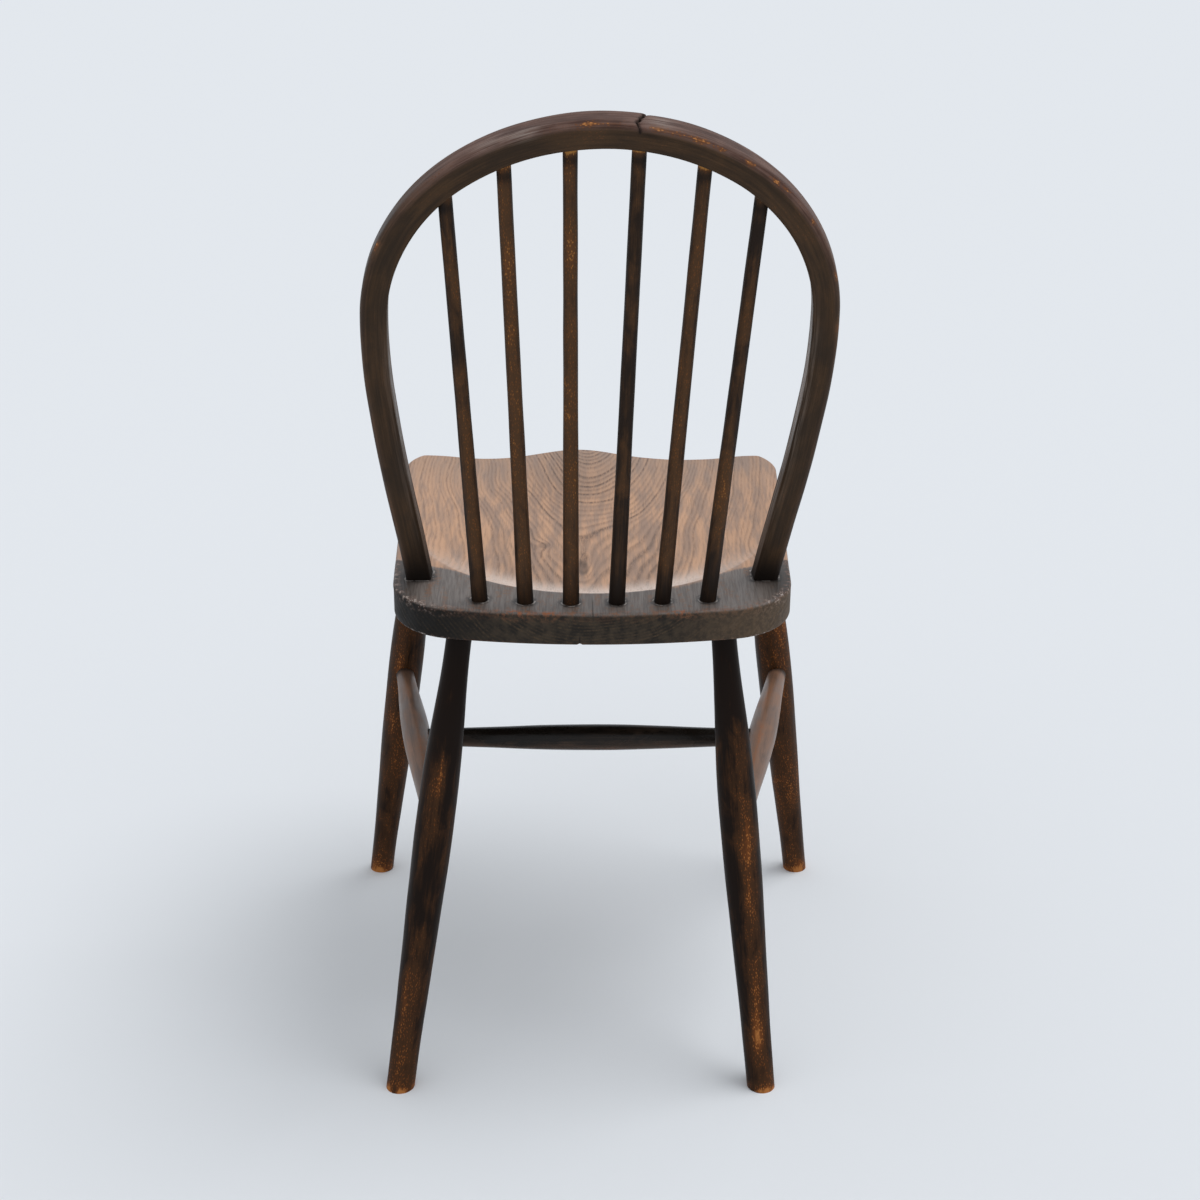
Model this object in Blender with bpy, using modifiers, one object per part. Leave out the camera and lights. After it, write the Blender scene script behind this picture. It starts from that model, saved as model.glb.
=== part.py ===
# Hoop-back kitchen chair: an elm seat carved to a saddle, a bent bow over six spindles,
# and four turned legs tied by an H of stretchers.
# Metres, +Z up, the sitter faces -Y, so the chair's left side is +X.
# The origin is on the floor, midway between the seat's front and the heels of the rear legs.

import math

import bmesh
import bpy
from mathutils import Vector

# Gap kept round every tenon in its hole.
FIT_GAP = 0.0003

# Seat plank.
SEAT_HEIGHT = 0.448
SEAT_THICKNESS = 0.030
SEAT_DEPTH = 0.402
SEAT_FRONT_HALF_WIDTH = 0.1858
SEAT_REAR_HALF_WIDTH = 0.1740
SEAT_FRONT_CORNER_RADIUS = 0.050
SEAT_REAR_CORNER_RADIUS = 0.064
SEAT_REAR_CURVE_RADIUS = 0.65
SEAT_REAR_CURVE_ANGLE = math.radians(10.4)
SEAT_FRONT_CURVE_RADIUS = 2.0
SEAT_FRONT_CURVE_ANGLE = math.radians(2.7)
SEAT_EDGE_RADIUS = 0.0025
HEEL_REACH = 0.0682

# Saddle carved into the seat.
SADDLE_HALF_WIDTH = 0.168
SADDLE_REAR_LENGTH = 0.159
SADDLE_RIM_SETBACK = 0.044
SADDLE_DEPTH = 0.0125
SADDLE_REAR_RUN = 0.020
SADDLE_SIDE_RUN = 0.035
POMMEL_RISE = 0.0100
POMMEL_HALF_WIDTH = 0.046
POMMEL_LENGTH = 0.150
SADDLE_GRID_STEP = 0.011

# Legs, turned alike.
REAR_FOOT_DIAMETER = 0.0254
FRONT_FOOT_DIAMETER = 0.0238
LEG_SWELL_DIAMETER = 0.0345
LEG_TOP_DIAMETER = 0.0224
LEG_TENON_DEPTH = 0.020
REAR_SOCKET_HALF_SPAN = 0.115
REAR_SOCKET_SETBACK = 0.0658
REAR_FOOT_HALF_SPAN = 0.1645
FRONT_SOCKET_HALF_SPAN = 0.1645
FRONT_SOCKET_SETBACK = 0.100
FRONT_FOOT_HALF_SPAN = 0.2207
FRONT_FOOT_SETBACK = 0.078
# The old joints have racked, so the rear feet and the front feet stand a little to the left.
REAR_FOOT_RACK = 0.010
FRONT_FOOT_RACK = 0.002

# Stretchers. The holes in the legs were bored by eye, so each one is a little off its leg's line.
STRETCHER_HEIGHT = 0.2427
SIDE_STRETCHER_END_DIAMETER = 0.0176
SIDE_STRETCHER_SWELL_DIAMETER = 0.0268
SIDE_STRETCHER_REAR_OFFSET = 0.0036
LEFT_STRETCHER_FRONT_OFFSET = 0.0014
RIGHT_STRETCHER_FRONT_OFFSET = -0.0040
CROSS_STRETCHER_END_DIAMETER = 0.0168
CROSS_STRETCHER_SWELL_DIAMETER = 0.0248

# Bow, in its own leaning plane. Angles are measured from the plane's upward line.
BOW_LEAN = math.radians(15.0)
BOW_SETBACK = 0.0825
BOW_HEIGHT = 0.4356
BOW_WIDTH = 0.0220
BOW_DEPTH = 0.0208
BOW_OUTER_ROUND = 0.0060
BOW_INNER_ROUND = 0.0018
BOW_CROWN_RADIUS = 0.1997
BOW_SHOULDER_RADIUS = 0.162
BOW_SIDE_RADIUS = 0.4935
BOW_CROWN_END = math.radians(57.4)
BOW_SHOULDER_END = math.radians(2.5)
BOW_FOOT_SPLAY = math.radians(7.7)
# The bow leans sideways as it rises, by this much for each metre.
BOW_RACK = -0.0196

# Spindles.
SPINDLE_COUNT = 6
SPINDLE_SETBACK = 0.0251
SPINDLE_ROW_RADIUS = 0.78
SPINDLE_FOOT_PITCH = 0.0395
SPINDLE_FOOT_OFFSET = -0.0012
SPINDLE_BOW_PITCH = 0.0534
SPINDLE_FOOT_DIAMETER = 0.0142
SPINDLE_TOP_DIAMETER = 0.0116
SPINDLE_FOOT_TENON = 0.018
SPINDLE_TOP_TENON = 0.0115

# Wedges that lock the bow's feet under the seat.
WEDGE_THICKNESS = 0.0036
WEDGE_TIP_THICKNESS = 0.0012
WEDGE_LENGTH = 0.019

# Damage: a break across the bow's crown, and a drying check in the seat's rear edge.
BREAK_DISTANCE = -0.0285
BREAK_DEPTH = 0.0045
BREAK_MOUTH = 0.0030
BREAK_END = 0.0009
BREAK_RUN = 0.0080
CHECK_X = 0.0000
CHECK_WIDTH = 0.0009
CHECK_LENGTH = 0.030
CHECK_NOTCH_X = 0.0110
CHECK_NOTCH_SIZE = 0.0022

# Facets round a turned piece and along an arc.
LEG_SIDES = 24
STRETCHER_SIDES = 20
SPINDLE_SIDES = 16
LEG_RINGS = 9
STRETCHER_RINGS = 12
BOW_STEP = math.radians(3.2)
OUTLINE_SAG = 0.0001
BOW_SECTION_SAG = 0.0002

SEAT_UNDERSIDE = SEAT_HEIGHT - SEAT_THICKNESS
SEAT_REAR_Y = (SEAT_DEPTH + HEEL_REACH) / 2 - HEEL_REACH
SEAT_FRONT_Y = SEAT_REAR_Y - SEAT_DEPTH
REAR_SOCKET_Y = SEAT_REAR_Y - REAR_SOCKET_SETBACK
REAR_FOOT_Y = SEAT_REAR_Y + HEEL_REACH - REAR_FOOT_DIAMETER / 2
FRONT_SOCKET_Y = SEAT_FRONT_Y + FRONT_SOCKET_SETBACK
FRONT_FOOT_Y = SEAT_FRONT_Y + FRONT_FOOT_SETBACK
BOW_FOOT_Y = SEAT_REAR_Y - BOW_SETBACK
SADDLE_CENTRE_Y = SEAT_REAR_Y - SADDLE_RIM_SETBACK - SADDLE_REAR_LENGTH

BOW_UP = Vector((0.0, math.sin(BOW_LEAN), math.cos(BOW_LEAN)))
BOW_BACK = Vector((0.0, math.cos(BOW_LEAN), -math.sin(BOW_LEAN)))


def clear_scene():
    for old in list(bpy.data.objects):
        bpy.data.objects.remove(old, do_unlink=True)


def new_collection(name):
    made = bpy.data.collections.new(name)
    bpy.context.scene.collection.children.link(made)
    return made


def wood(name, colour, roughness):
    made = bpy.data.materials.new(name)
    made.use_nodes = True
    shader = made.node_tree.nodes["Principled BSDF"]
    shader.inputs["Base Color"].default_value = (*colour, 1.0)
    shader.inputs["Roughness"].default_value = roughness
    shader.inputs["Metallic"].default_value = 0.0
    return made


def link(obj, collection, material=None):
    collection.objects.link(obj)
    if material:
        obj.data.materials.append(material)
    return obj


def as_cutter(obj):
    obj.hide_render = True
    obj.display_type = "WIRE"
    return obj


def cut(target, *cutters):
    for cutter in cutters:
        boolean = target.modifiers.new("cut_" + cutter.name, "BOOLEAN")
        boolean.operation = "DIFFERENCE"
        boolean.object = cutter


def smooth_step(t):
    t = min(max(t, 0.0), 1.0)
    return t * t * (3.0 - 2.0 * t)


def smoother_step(t):
    t = min(max(t, 0.0), 1.0)
    return t * t * t * (t * (6.0 * t - 15.0) + 10.0)


def aim(obj, start, end):
    """Puts obj's local origin at start with its local Z towards end."""
    obj.location = start
    obj.rotation_mode = "QUATERNION"
    obj.rotation_quaternion = (end - start).to_track_quat("Z", "Y")


def turned(name, profile, sides, collection, material):
    """A solid of revolution about local Z. The profile lists (radius, height) from the top down."""
    mesh = bpy.data.meshes.new(name)
    points = [(radius, 0.0, height) for radius, height in profile]
    mesh.from_pydata(points, [(i, i + 1) for i in range(len(points) - 1)], [])
    obj = link(bpy.data.objects.new(name, mesh), collection, material)
    screw = obj.modifiers.new("turn", "SCREW")
    screw.steps = sides
    screw.render_steps = sides
    screw.use_merge_vertices = True
    screw.merge_threshold = 0.00001
    screw.use_smooth_shade = True
    return obj


def drill(name, start, end, radius, sides, collection):
    """A cylindrical cutter whose axis runs from start to end."""
    bpy.ops.mesh.primitive_cylinder_add(vertices=sides, radius=radius, depth=1.0)
    obj = bpy.context.active_object
    obj.name = name
    length = (end - start).length
    for vertex in obj.data.vertices:
        vertex.co.z = (vertex.co.z + 0.5) * length
    for holder in list(obj.users_collection):
        holder.objects.unlink(obj)
    collection.objects.link(obj)
    aim(obj, start, end)
    return as_cutter(obj)


def rounded_outline(corners, sag):
    """The closed outline through (x, y, radius) corners, each one rounded by an arc whose
    chords stray from it by sag at most."""
    points = []
    count = len(corners)
    for i, (x, y, radius) in enumerate(corners):
        corner = Vector((x, y))
        before = (Vector(corners[i - 1][:2]) - corner).normalized()
        after = (Vector(corners[(i + 1) % count][:2]) - corner).normalized()
        half = before.angle(after) / 2
        centre = corner + (before + after).normalized() * radius / math.sin(half)
        first = corner + before * radius / math.tan(half) - centre
        turn = math.pi - 2 * half
        side = math.copysign(1.0, before.x * after.y - before.y * after.x)
        pieces = max(2, math.ceil(turn / (2 * math.acos(1.0 - sag / radius))))
        for k in range(pieces + 1):
            angle = -side * turn * k / pieces
            points.append(
                centre
                + Vector(
                    (
                        first.x * math.cos(angle) - first.y * math.sin(angle),
                        first.x * math.sin(angle) + first.y * math.cos(angle),
                    )
                )
            )
    return points


def closed_curve(name, points):
    """A flat closed curve of straight segments."""
    curve = bpy.data.curves.new(name, "CURVE")
    curve.dimensions = "2D"
    spline = curve.splines.new("POLY")
    spline.points.add(len(points) - 1)
    for point, (x, y) in zip(spline.points, points):
        point.co = (x, y, 0.0, 1.0)
    spline.use_cyclic_u = True
    return curve


def as_mesh(curve_object, name, collection, material=None):
    """Replaces a curve object by the closed mesh that it shows."""
    bpy.context.view_layer.update()
    evaluated = curve_object.evaluated_get(bpy.context.evaluated_depsgraph_get())
    mesh = bpy.data.meshes.new_from_object(evaluated)
    shape = bmesh.new()
    shape.from_mesh(mesh)
    bmesh.ops.remove_doubles(shape, verts=shape.verts, dist=0.000005)
    bmesh.ops.recalc_face_normals(shape, faces=shape.faces)
    shape.to_mesh(mesh)
    shape.free()
    mesh.name = name
    mesh.materials.clear()
    obj = link(bpy.data.objects.new(name, mesh), collection, material)
    obj.matrix_world = curve_object.matrix_world
    bpy.data.objects.remove(curve_object, do_unlink=True)
    return obj


def saddle_depth(x, y):
    """How deep the saddle is carved at a point of the seat. Below zero it is above the plank."""
    rearward = max(y - SADDLE_CENTRE_Y, 0.0) * SADDLE_HALF_WIDTH / SADDLE_REAR_LENGTH
    reach = max(math.hypot(x, rearward), 0.001)
    inside = SADDLE_HALF_WIDTH - reach
    run = SADDLE_SIDE_RUN + (SADDLE_REAR_RUN - SADDLE_SIDE_RUN) * rearward / reach
    if inside < 0.0:
        return max(inside * SADDLE_DEPTH / run, -SADDLE_DEPTH)
    rise = smooth_step((SEAT_FRONT_Y + POMMEL_LENGTH - y) / POMMEL_LENGTH)
    pommel = POMMEL_RISE * math.exp(-((x / POMMEL_HALF_WIDTH) ** 2)) * rise
    return (SADDLE_DEPTH - pommel) * (1.0 - math.exp(-inside / run))


def saddle_cutter(collection):
    """A block whose underside is the saddle."""
    half_x = SEAT_FRONT_HALF_WIDTH + 2 * SADDLE_GRID_STEP
    front = SEAT_FRONT_Y - 2 * SADDLE_GRID_STEP
    rear = SEAT_REAR_Y + SADDLE_GRID_STEP
    columns = round(2 * half_x / SADDLE_GRID_STEP)
    rows = round((rear - front) / SADDLE_GRID_STEP)
    shape = bmesh.new()
    bmesh.ops.create_grid(shape, x_segments=columns, y_segments=rows, size=0.5)
    for vertex in shape.verts:
        vertex.co.x *= 2 * half_x
        vertex.co.y = (vertex.co.y + 0.5) * (rear - front) + front
        vertex.co.z = SEAT_HEIGHT - saddle_depth(vertex.co.x, vertex.co.y)
    top = bmesh.ops.extrude_face_region(shape, geom=shape.faces[:])["geom"]
    for vertex in top:
        if isinstance(vertex, bmesh.types.BMVert):
            vertex.co.z = SEAT_HEIGHT + SEAT_THICKNESS
    bmesh.ops.recalc_face_normals(shape, faces=shape.faces)
    mesh = bpy.data.meshes.new("saddle_cutter")
    shape.to_mesh(mesh)
    shape.free()
    return as_cutter(link(bpy.data.objects.new("saddle_cutter", mesh), collection))


def seat_outline():
    rear_apex = SEAT_REAR_Y + SEAT_REAR_CURVE_RADIUS * (1.0 / math.cos(SEAT_REAR_CURVE_ANGLE) - 1.0)
    front_apex = SEAT_FRONT_Y - SEAT_FRONT_CURVE_RADIUS * (
        1.0 / math.cos(SEAT_FRONT_CURVE_ANGLE) - 1.0
    )
    rear_corner_y = rear_apex - SEAT_REAR_HALF_WIDTH * math.tan(SEAT_REAR_CURVE_ANGLE)
    front_corner_y = front_apex + SEAT_FRONT_HALF_WIDTH * math.tan(SEAT_FRONT_CURVE_ANGLE)
    return rounded_outline(
        [
            (0.0, rear_apex, SEAT_REAR_CURVE_RADIUS),
            (SEAT_REAR_HALF_WIDTH, rear_corner_y, SEAT_REAR_CORNER_RADIUS),
            (SEAT_FRONT_HALF_WIDTH, front_corner_y, SEAT_FRONT_CORNER_RADIUS),
            (0.0, front_apex, SEAT_FRONT_CURVE_RADIUS),
            (-SEAT_FRONT_HALF_WIDTH, front_corner_y, SEAT_FRONT_CORNER_RADIUS),
            (-SEAT_REAR_HALF_WIDTH, rear_corner_y, SEAT_REAR_CORNER_RADIUS),
        ],
        OUTLINE_SAG,
    )


def build_seat(collection, material):
    curve = closed_curve("seat", seat_outline())
    curve.fill_mode = "BOTH"
    curve.extrude = SEAT_THICKNESS / 2 - SEAT_EDGE_RADIUS
    curve.bevel_depth = SEAT_EDGE_RADIUS
    curve.bevel_resolution = 1
    curve.offset = -SEAT_EDGE_RADIUS
    plank = link(bpy.data.objects.new("seat_plank", curve), collection)
    plank.location.z = SEAT_HEIGHT - SEAT_THICKNESS / 2
    return as_mesh(plank, "seat", collection, material)


def check_cutters(collection):
    """The drying check: a thin groove on the seat's rear land, and a notch in the edge below it."""
    made = []
    for name, x, z, width, length in (
        ("check_groove", CHECK_X, SEAT_HEIGHT, CHECK_WIDTH, 2 * CHECK_LENGTH),
        ("check_notch", CHECK_NOTCH_X, SEAT_UNDERSIDE, CHECK_NOTCH_SIZE, 4 * CHECK_NOTCH_SIZE),
    ):
        bpy.ops.mesh.primitive_cube_add(size=1.0)
        groove = bpy.context.active_object
        groove.name = name
        for vertex in groove.data.vertices:
            vertex.co = Vector((vertex.co.x * width, vertex.co.y * length, vertex.co.z * width))
        groove.rotation_euler.y = math.radians(45.0)
        groove.location = (x, SEAT_REAR_Y, z + width * (0.2 if z > SEAT_UNDERSIDE else -0.2))
        for holder in list(groove.users_collection):
            holder.objects.unlink(groove)
        collection.objects.link(groove)
        made.append(as_cutter(groove))
    return made


def bow_point(distance):
    """A point of the bow's centre line and its outward normal, in the bow's plane, at a distance
    along the line from the crown. Positive distances run to the chair's left."""
    side = math.copysign(1.0, distance)
    left = abs(distance)
    centre = Vector((0.0, BOW_HEIGHT - BOW_CROWN_RADIUS))
    start = math.pi / 2
    for radius, next_radius, end in (
        (BOW_CROWN_RADIUS, BOW_SHOULDER_RADIUS, BOW_CROWN_END),
        (BOW_SHOULDER_RADIUS, BOW_SIDE_RADIUS, BOW_SHOULDER_END),
        (BOW_SIDE_RADIUS, 0.0, -BOW_FOOT_SPLAY),
    ):
        length = radius * (start - end)
        if left <= length:
            angle = start - left / radius
            normal = Vector((math.cos(angle), math.sin(angle)))
            point = centre + normal * radius
            return Vector((side * point.x, point.y)), Vector((side * normal.x, normal.y))
        left -= length
        normal = Vector((math.cos(end), math.sin(end)))
        centre = centre + normal * (radius - next_radius)
        start = end
    along = Vector((-math.sin(BOW_FOOT_SPLAY), -math.cos(BOW_FOOT_SPLAY)))
    point = centre + along * left
    return Vector((side * point.x, point.y)), Vector((side * normal.x, normal.y))


def bow_arc_length():
    """The centre line's length from the crown to where the straight foot begins."""
    return (
        BOW_CROWN_RADIUS * (math.pi / 2 - BOW_CROWN_END)
        + BOW_SHOULDER_RADIUS * (BOW_CROWN_END - BOW_SHOULDER_END)
        + BOW_SIDE_RADIUS * (BOW_SHOULDER_END + BOW_FOOT_SPLAY)
    )


def bow_foot_length():
    """The straight foot's length, from the last arc to the bow's end under the seat."""
    above_seat = bow_point(bow_arc_length())[0].y
    through_seat = (SEAT_THICKNESS + BOW_WIDTH) / math.cos(BOW_LEAN)
    return (above_seat + through_seat) / math.cos(BOW_FOOT_SPLAY)


def bow_world(flat_point):
    """A point of the bow's plane in the chair's frame."""
    x = flat_point.x + BOW_RACK * flat_point.y
    return Vector((x, BOW_FOOT_Y, SEAT_HEIGHT)) + BOW_UP * flat_point.y


def bow_section(grow=0.0):
    """The bow's section: flat towards the spindles, rounded over outside. X is outward."""
    half_width = BOW_WIDTH / 2 + grow
    half_depth = BOW_DEPTH / 2 + grow
    return rounded_outline(
        [
            (half_width, -half_depth, BOW_OUTER_ROUND),
            (half_width, half_depth, BOW_OUTER_ROUND),
            (-half_width, half_depth, BOW_INNER_ROUND),
            (-half_width, -half_depth, BOW_INNER_ROUND),
        ],
        BOW_SECTION_SAG,
    )


def bow_distances():
    """Distances along the bow at which its facets meet, from foot to foot."""
    marks = [0.0]
    for radius, angle in (
        (BOW_CROWN_RADIUS, math.pi / 2 - BOW_CROWN_END),
        (BOW_SHOULDER_RADIUS, BOW_CROWN_END - BOW_SHOULDER_END),
        (BOW_SIDE_RADIUS, BOW_SHOULDER_END + BOW_FOOT_SPLAY),
    ):
        steps = math.ceil(angle / BOW_STEP)
        start = marks[-1]
        marks += [start + radius * angle * (k + 1) / steps for k in range(steps)]
    marks.append(marks[-1] + bow_foot_length())
    return [-mark for mark in reversed(marks[1:])] + marks


def bow_solid(name, grow, collection, material=None):
    """The bow swept along its centre line, or a cutter that is larger by grow all round."""
    section = closed_curve(name + "_section", bow_section(grow))
    section_object = link(bpy.data.objects.new(name + "_section", section), collection)
    path = bpy.data.curves.new(name + "_path", "CURVE")
    path.dimensions = "2D"
    spline = path.splines.new("POLY")
    distances = bow_distances()
    spline.points.add(len(distances) - 1)
    for point, distance in zip(spline.points, distances):
        flat = bow_point(distance)[0]
        point.co = (flat.x + BOW_RACK * flat.y, flat.y, 0.0, 1.0)
    path.bevel_mode = "OBJECT"
    path.bevel_object = section_object
    path.use_fill_caps = True
    swept = link(bpy.data.objects.new(name + "_path", path), collection)
    swept.location = (0.0, BOW_FOOT_Y, SEAT_HEIGHT)
    swept.rotation_euler = (math.pi / 2 - BOW_LEAN, 0.0, 0.0)
    solid = as_mesh(swept, name, collection, material)
    bpy.data.objects.remove(section_object, do_unlink=True)
    return solid


def under_seat_cutter(collection):
    """Trims the bow's feet flush with the underside of the seat."""
    bpy.ops.mesh.primitive_cube_add(size=1.0)
    block = bpy.context.active_object
    block.name = "under_seat_cutter"
    height = 0.2
    for vertex in block.data.vertices:
        vertex.co.z *= height
    block.location = (0.0, 0.0, SEAT_UNDERSIDE - height / 2)
    for holder in list(block.users_collection):
        holder.objects.unlink(block)
    collection.objects.link(block)
    return as_cutter(block)


def bow_wedge(name, grow, collection, side, material=None):
    """A wedge driven up into the bow's foot from below, or the kerf that takes it."""
    flat_foot = bow_point(side * (bow_arc_length() + bow_foot_length()))[0]
    flat_above = bow_point(side * bow_arc_length())[0]
    foot = bow_world(flat_foot)
    up = (bow_world(flat_above) - foot).normalized()
    base = foot + up * ((SEAT_UNDERSIDE - foot.z) / up.z)
    drop = WEDGE_LENGTH / 2
    taper = (WEDGE_THICKNESS - WEDGE_TIP_THICKNESS) / 2 / WEDGE_LENGTH
    mouth = WEDGE_THICKNESS / 2 + taper * drop + grow
    tip = WEDGE_TIP_THICKNESS / 2 - taper * grow + grow
    top = WEDGE_LENGTH + grow
    outline = [(-mouth, -drop), (mouth, -drop), (tip, top), (-tip, top)]
    curve = closed_curve(name, outline)
    curve.fill_mode = "BOTH"
    curve.extrude = BOW_DEPTH / 2 - 0.002 + grow
    flat = link(bpy.data.objects.new(name + "_outline", curve), collection)
    flat.location = base
    across = up.cross(BOW_BACK).normalized()
    back = across.cross(up).normalized()
    flat.rotation_mode = "QUATERNION"
    turn = flat.rotation_quaternion.to_matrix()
    turn.col[0] = across
    turn.col[1] = up
    turn.col[2] = back if across.cross(up).dot(back) > 0 else -back
    flat.rotation_quaternion = turn.to_quaternion()
    return as_mesh(flat, name, collection, material)


def break_cutter(collection):
    """The jagged break across the bow's outer face, at the fourth spindle."""
    flat, normal = bow_point(BREAK_DISTANCE)
    outward = (Vector((normal.x, 0.0, 0.0)) + BOW_UP * normal.y).normalized()
    along = outward.cross(BOW_BACK).normalized()
    front = -BOW_DEPTH / 2 - 0.002
    back = BOW_DEPTH / 2 - 0.003
    run = BREAK_RUN
    half_end = BREAK_END / 2
    outline = [
        (run / 2 + BREAK_MOUTH, front),
        (run / 2, front),
        (run / 8 - half_end, front * 0.5 + back * 0.5),
        (run / 4 - half_end, front * 0.3 + back * 0.7),
        (-run / 2, back),
        (-run / 2 + BREAK_END, back + half_end),
        (run / 4 + BREAK_END, front * 0.3 + back * 0.7 + half_end),
        (run / 8 + BREAK_END, front * 0.5 + back * 0.5),
    ]
    curve = closed_curve("break_outline", outline)
    curve.fill_mode = "BOTH"
    curve.extrude = BREAK_DEPTH
    cutter = link(bpy.data.objects.new("break_outline", curve), collection)
    cutter.location = bow_world(flat) + outward * (BOW_WIDTH / 2)
    cutter.rotation_mode = "QUATERNION"
    turn = cutter.rotation_quaternion.to_matrix()
    turn.col[0] = along
    turn.col[1] = BOW_BACK
    turn.col[2] = along.cross(BOW_BACK)
    cutter.rotation_quaternion = turn.to_quaternion()
    return as_cutter(as_mesh(cutter, "break_cutter", collection))


def spindle_ends(index):
    """Where a spindle's axis ends, in the seat and in the bow. Spindle 0 is on the left."""
    place = (SPINDLE_COUNT - 1) / 2 - index
    x = place * SPINDLE_FOOT_PITCH + SPINDLE_FOOT_OFFSET
    sag = SPINDLE_ROW_RADIUS - math.sqrt(SPINDLE_ROW_RADIUS**2 - x**2)
    at_seat = Vector((x, SEAT_REAR_Y - SPINDLE_SETBACK - sag, SEAT_HEIGHT))
    flat, normal = bow_point(place * SPINDLE_BOW_PITCH)
    in_bow = bow_world(flat + normal * (SPINDLE_TOP_TENON - BOW_WIDTH / 2))
    along = (in_bow - at_seat).normalized()
    return at_seat - along * SPINDLE_FOOT_TENON, in_bow


def build_spindle(index, collection, material):
    foot, top = spindle_ends(index)
    length = (top - foot).length
    foot_radius = SPINDLE_FOOT_DIAMETER / 2
    top_radius = SPINDLE_TOP_DIAMETER / 2
    profile = [(0.0, length), (top_radius, length)]
    rings = 6
    for k in range(rings, 0, -1):
        height = SPINDLE_FOOT_TENON + (length - SPINDLE_FOOT_TENON - SPINDLE_TOP_TENON) * k / rings
        swell = (1.0 - k / rings) ** 2
        profile.append((top_radius + (foot_radius - top_radius) * swell, height))
    profile += [(foot_radius, SPINDLE_FOOT_TENON), (foot_radius, 0.0), (0.0, 0.0)]
    obj = turned(f"spindle_{index + 1}", profile, SPINDLE_SIDES, collection, material)
    aim(obj, foot, top)
    return obj


def spindle_drills(index, collection):
    """The holes for one spindle, in the seat and in the bow."""
    foot, top = spindle_ends(index)
    along = (top - foot).normalized()
    seat_hole = drill(
        f"seat_hole_{index + 1}",
        foot - along * FIT_GAP,
        foot + along * (SPINDLE_FOOT_TENON + 0.02),
        SPINDLE_FOOT_DIAMETER / 2 + FIT_GAP,
        SPINDLE_SIDES,
        collection,
    )
    bow_hole = drill(
        f"bow_hole_{index + 1}",
        top + along * FIT_GAP,
        top - along * (SPINDLE_TOP_TENON + 0.02),
        SPINDLE_TOP_DIAMETER / 2 + FIT_GAP,
        SPINDLE_SIDES,
        collection,
    )
    return seat_hole, bow_hole


def leg_ends(rear, side):
    """Where a leg's axis meets the floor, and where it ends inside the seat."""
    if rear:
        foot = Vector((side * REAR_FOOT_HALF_SPAN + REAR_FOOT_RACK, REAR_FOOT_Y, 0.0))
        socket = Vector((side * REAR_SOCKET_HALF_SPAN, REAR_SOCKET_Y, SEAT_UNDERSIDE))
    else:
        foot = Vector((side * FRONT_FOOT_HALF_SPAN + FRONT_FOOT_RACK, FRONT_FOOT_Y, 0.0))
        socket = Vector((side * FRONT_SOCKET_HALF_SPAN, FRONT_SOCKET_Y, SEAT_UNDERSIDE))
    along = (socket - foot).normalized()
    return foot, socket + along * LEG_TENON_DEPTH


def leg_point(rear, side, height):
    """The point of a leg's axis at a height above the floor."""
    foot, top = leg_ends(rear, side)
    return foot.lerp(top, height / top.z)


def stretcher_end(rear, side):
    """Where a side stretcher's axis ends in a leg."""
    point = leg_point(rear, side, STRETCHER_HEIGHT)
    if rear:
        point.x += side * SIDE_STRETCHER_REAR_OFFSET
    else:
        point.x += LEFT_STRETCHER_FRONT_OFFSET if side > 0 else -RIGHT_STRETCHER_FRONT_OFFSET
    return point


def build_leg(name, rear, side, floor, collection, material):
    foot, top = leg_ends(rear, side)
    length = (top - foot).length
    along = (top - foot).normalized()
    swell_at = STRETCHER_HEIGHT / along.z
    seat_at = length - LEG_TENON_DEPTH
    top_radius = LEG_TOP_DIAMETER / 2
    swell_radius = LEG_SWELL_DIAMETER / 2
    foot_radius = (REAR_FOOT_DIAMETER if rear else FRONT_FOOT_DIAMETER) / 2
    below_floor = foot_radius * 2
    profile = [(0.0, length), (top_radius, length)]
    for k in range(LEG_RINGS + 1):
        share = k / LEG_RINGS
        radius = top_radius + (swell_radius - top_radius) * smoother_step(share)
        profile.append((radius, seat_at + (swell_at - seat_at) * share))
    for k in range(1, LEG_RINGS + 1):
        share = k / LEG_RINGS
        radius = swell_radius + (foot_radius - swell_radius) * smooth_step(share)
        profile.append((radius, swell_at * (1.0 - share)))
    profile += [(foot_radius, -below_floor), (0.0, -below_floor)]
    obj = turned(name, profile, LEG_SIDES, collection, material)
    aim(obj, foot, top)
    cut(obj, floor)
    return obj


def leg_socket(name, rear, side, collection):
    foot, top = leg_ends(rear, side)
    along = (top - foot).normalized()
    return drill(
        name,
        top + along * FIT_GAP,
        top - along * (LEG_TENON_DEPTH + 0.03),
        LEG_TOP_DIAMETER / 2 + FIT_GAP,
        LEG_SIDES,
        collection,
    )


def floor_cutter(collection):
    bpy.ops.mesh.primitive_cube_add(size=1.0)
    floor = bpy.context.active_object
    floor.name = "floor_cutter"
    thickness = 0.2
    for vertex in floor.data.vertices:
        vertex.co.z *= thickness
    floor.location = (0.0, 0.0, -thickness / 2)
    for holder in list(floor.users_collection):
        holder.objects.unlink(floor)
    collection.objects.link(floor)
    return as_cutter(floor)


def build_stretcher(name, start, end, end_diameter, swell_diameter, collection, material):
    """A stretcher turned with a swell at the middle of its length."""
    length = (end - start).length
    end_radius = end_diameter / 2
    swell = (swell_diameter - end_diameter) / 2
    profile = [(0.0, length)]
    for k in range(STRETCHER_RINGS, -1, -1):
        share = k / STRETCHER_RINGS
        profile.append((end_radius + swell * math.sin(math.pi * share) ** 2, length * share))
    profile.append((0.0, 0.0))
    obj = turned(name, profile, STRETCHER_SIDES, collection, material)
    aim(obj, start, end)
    return obj


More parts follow.
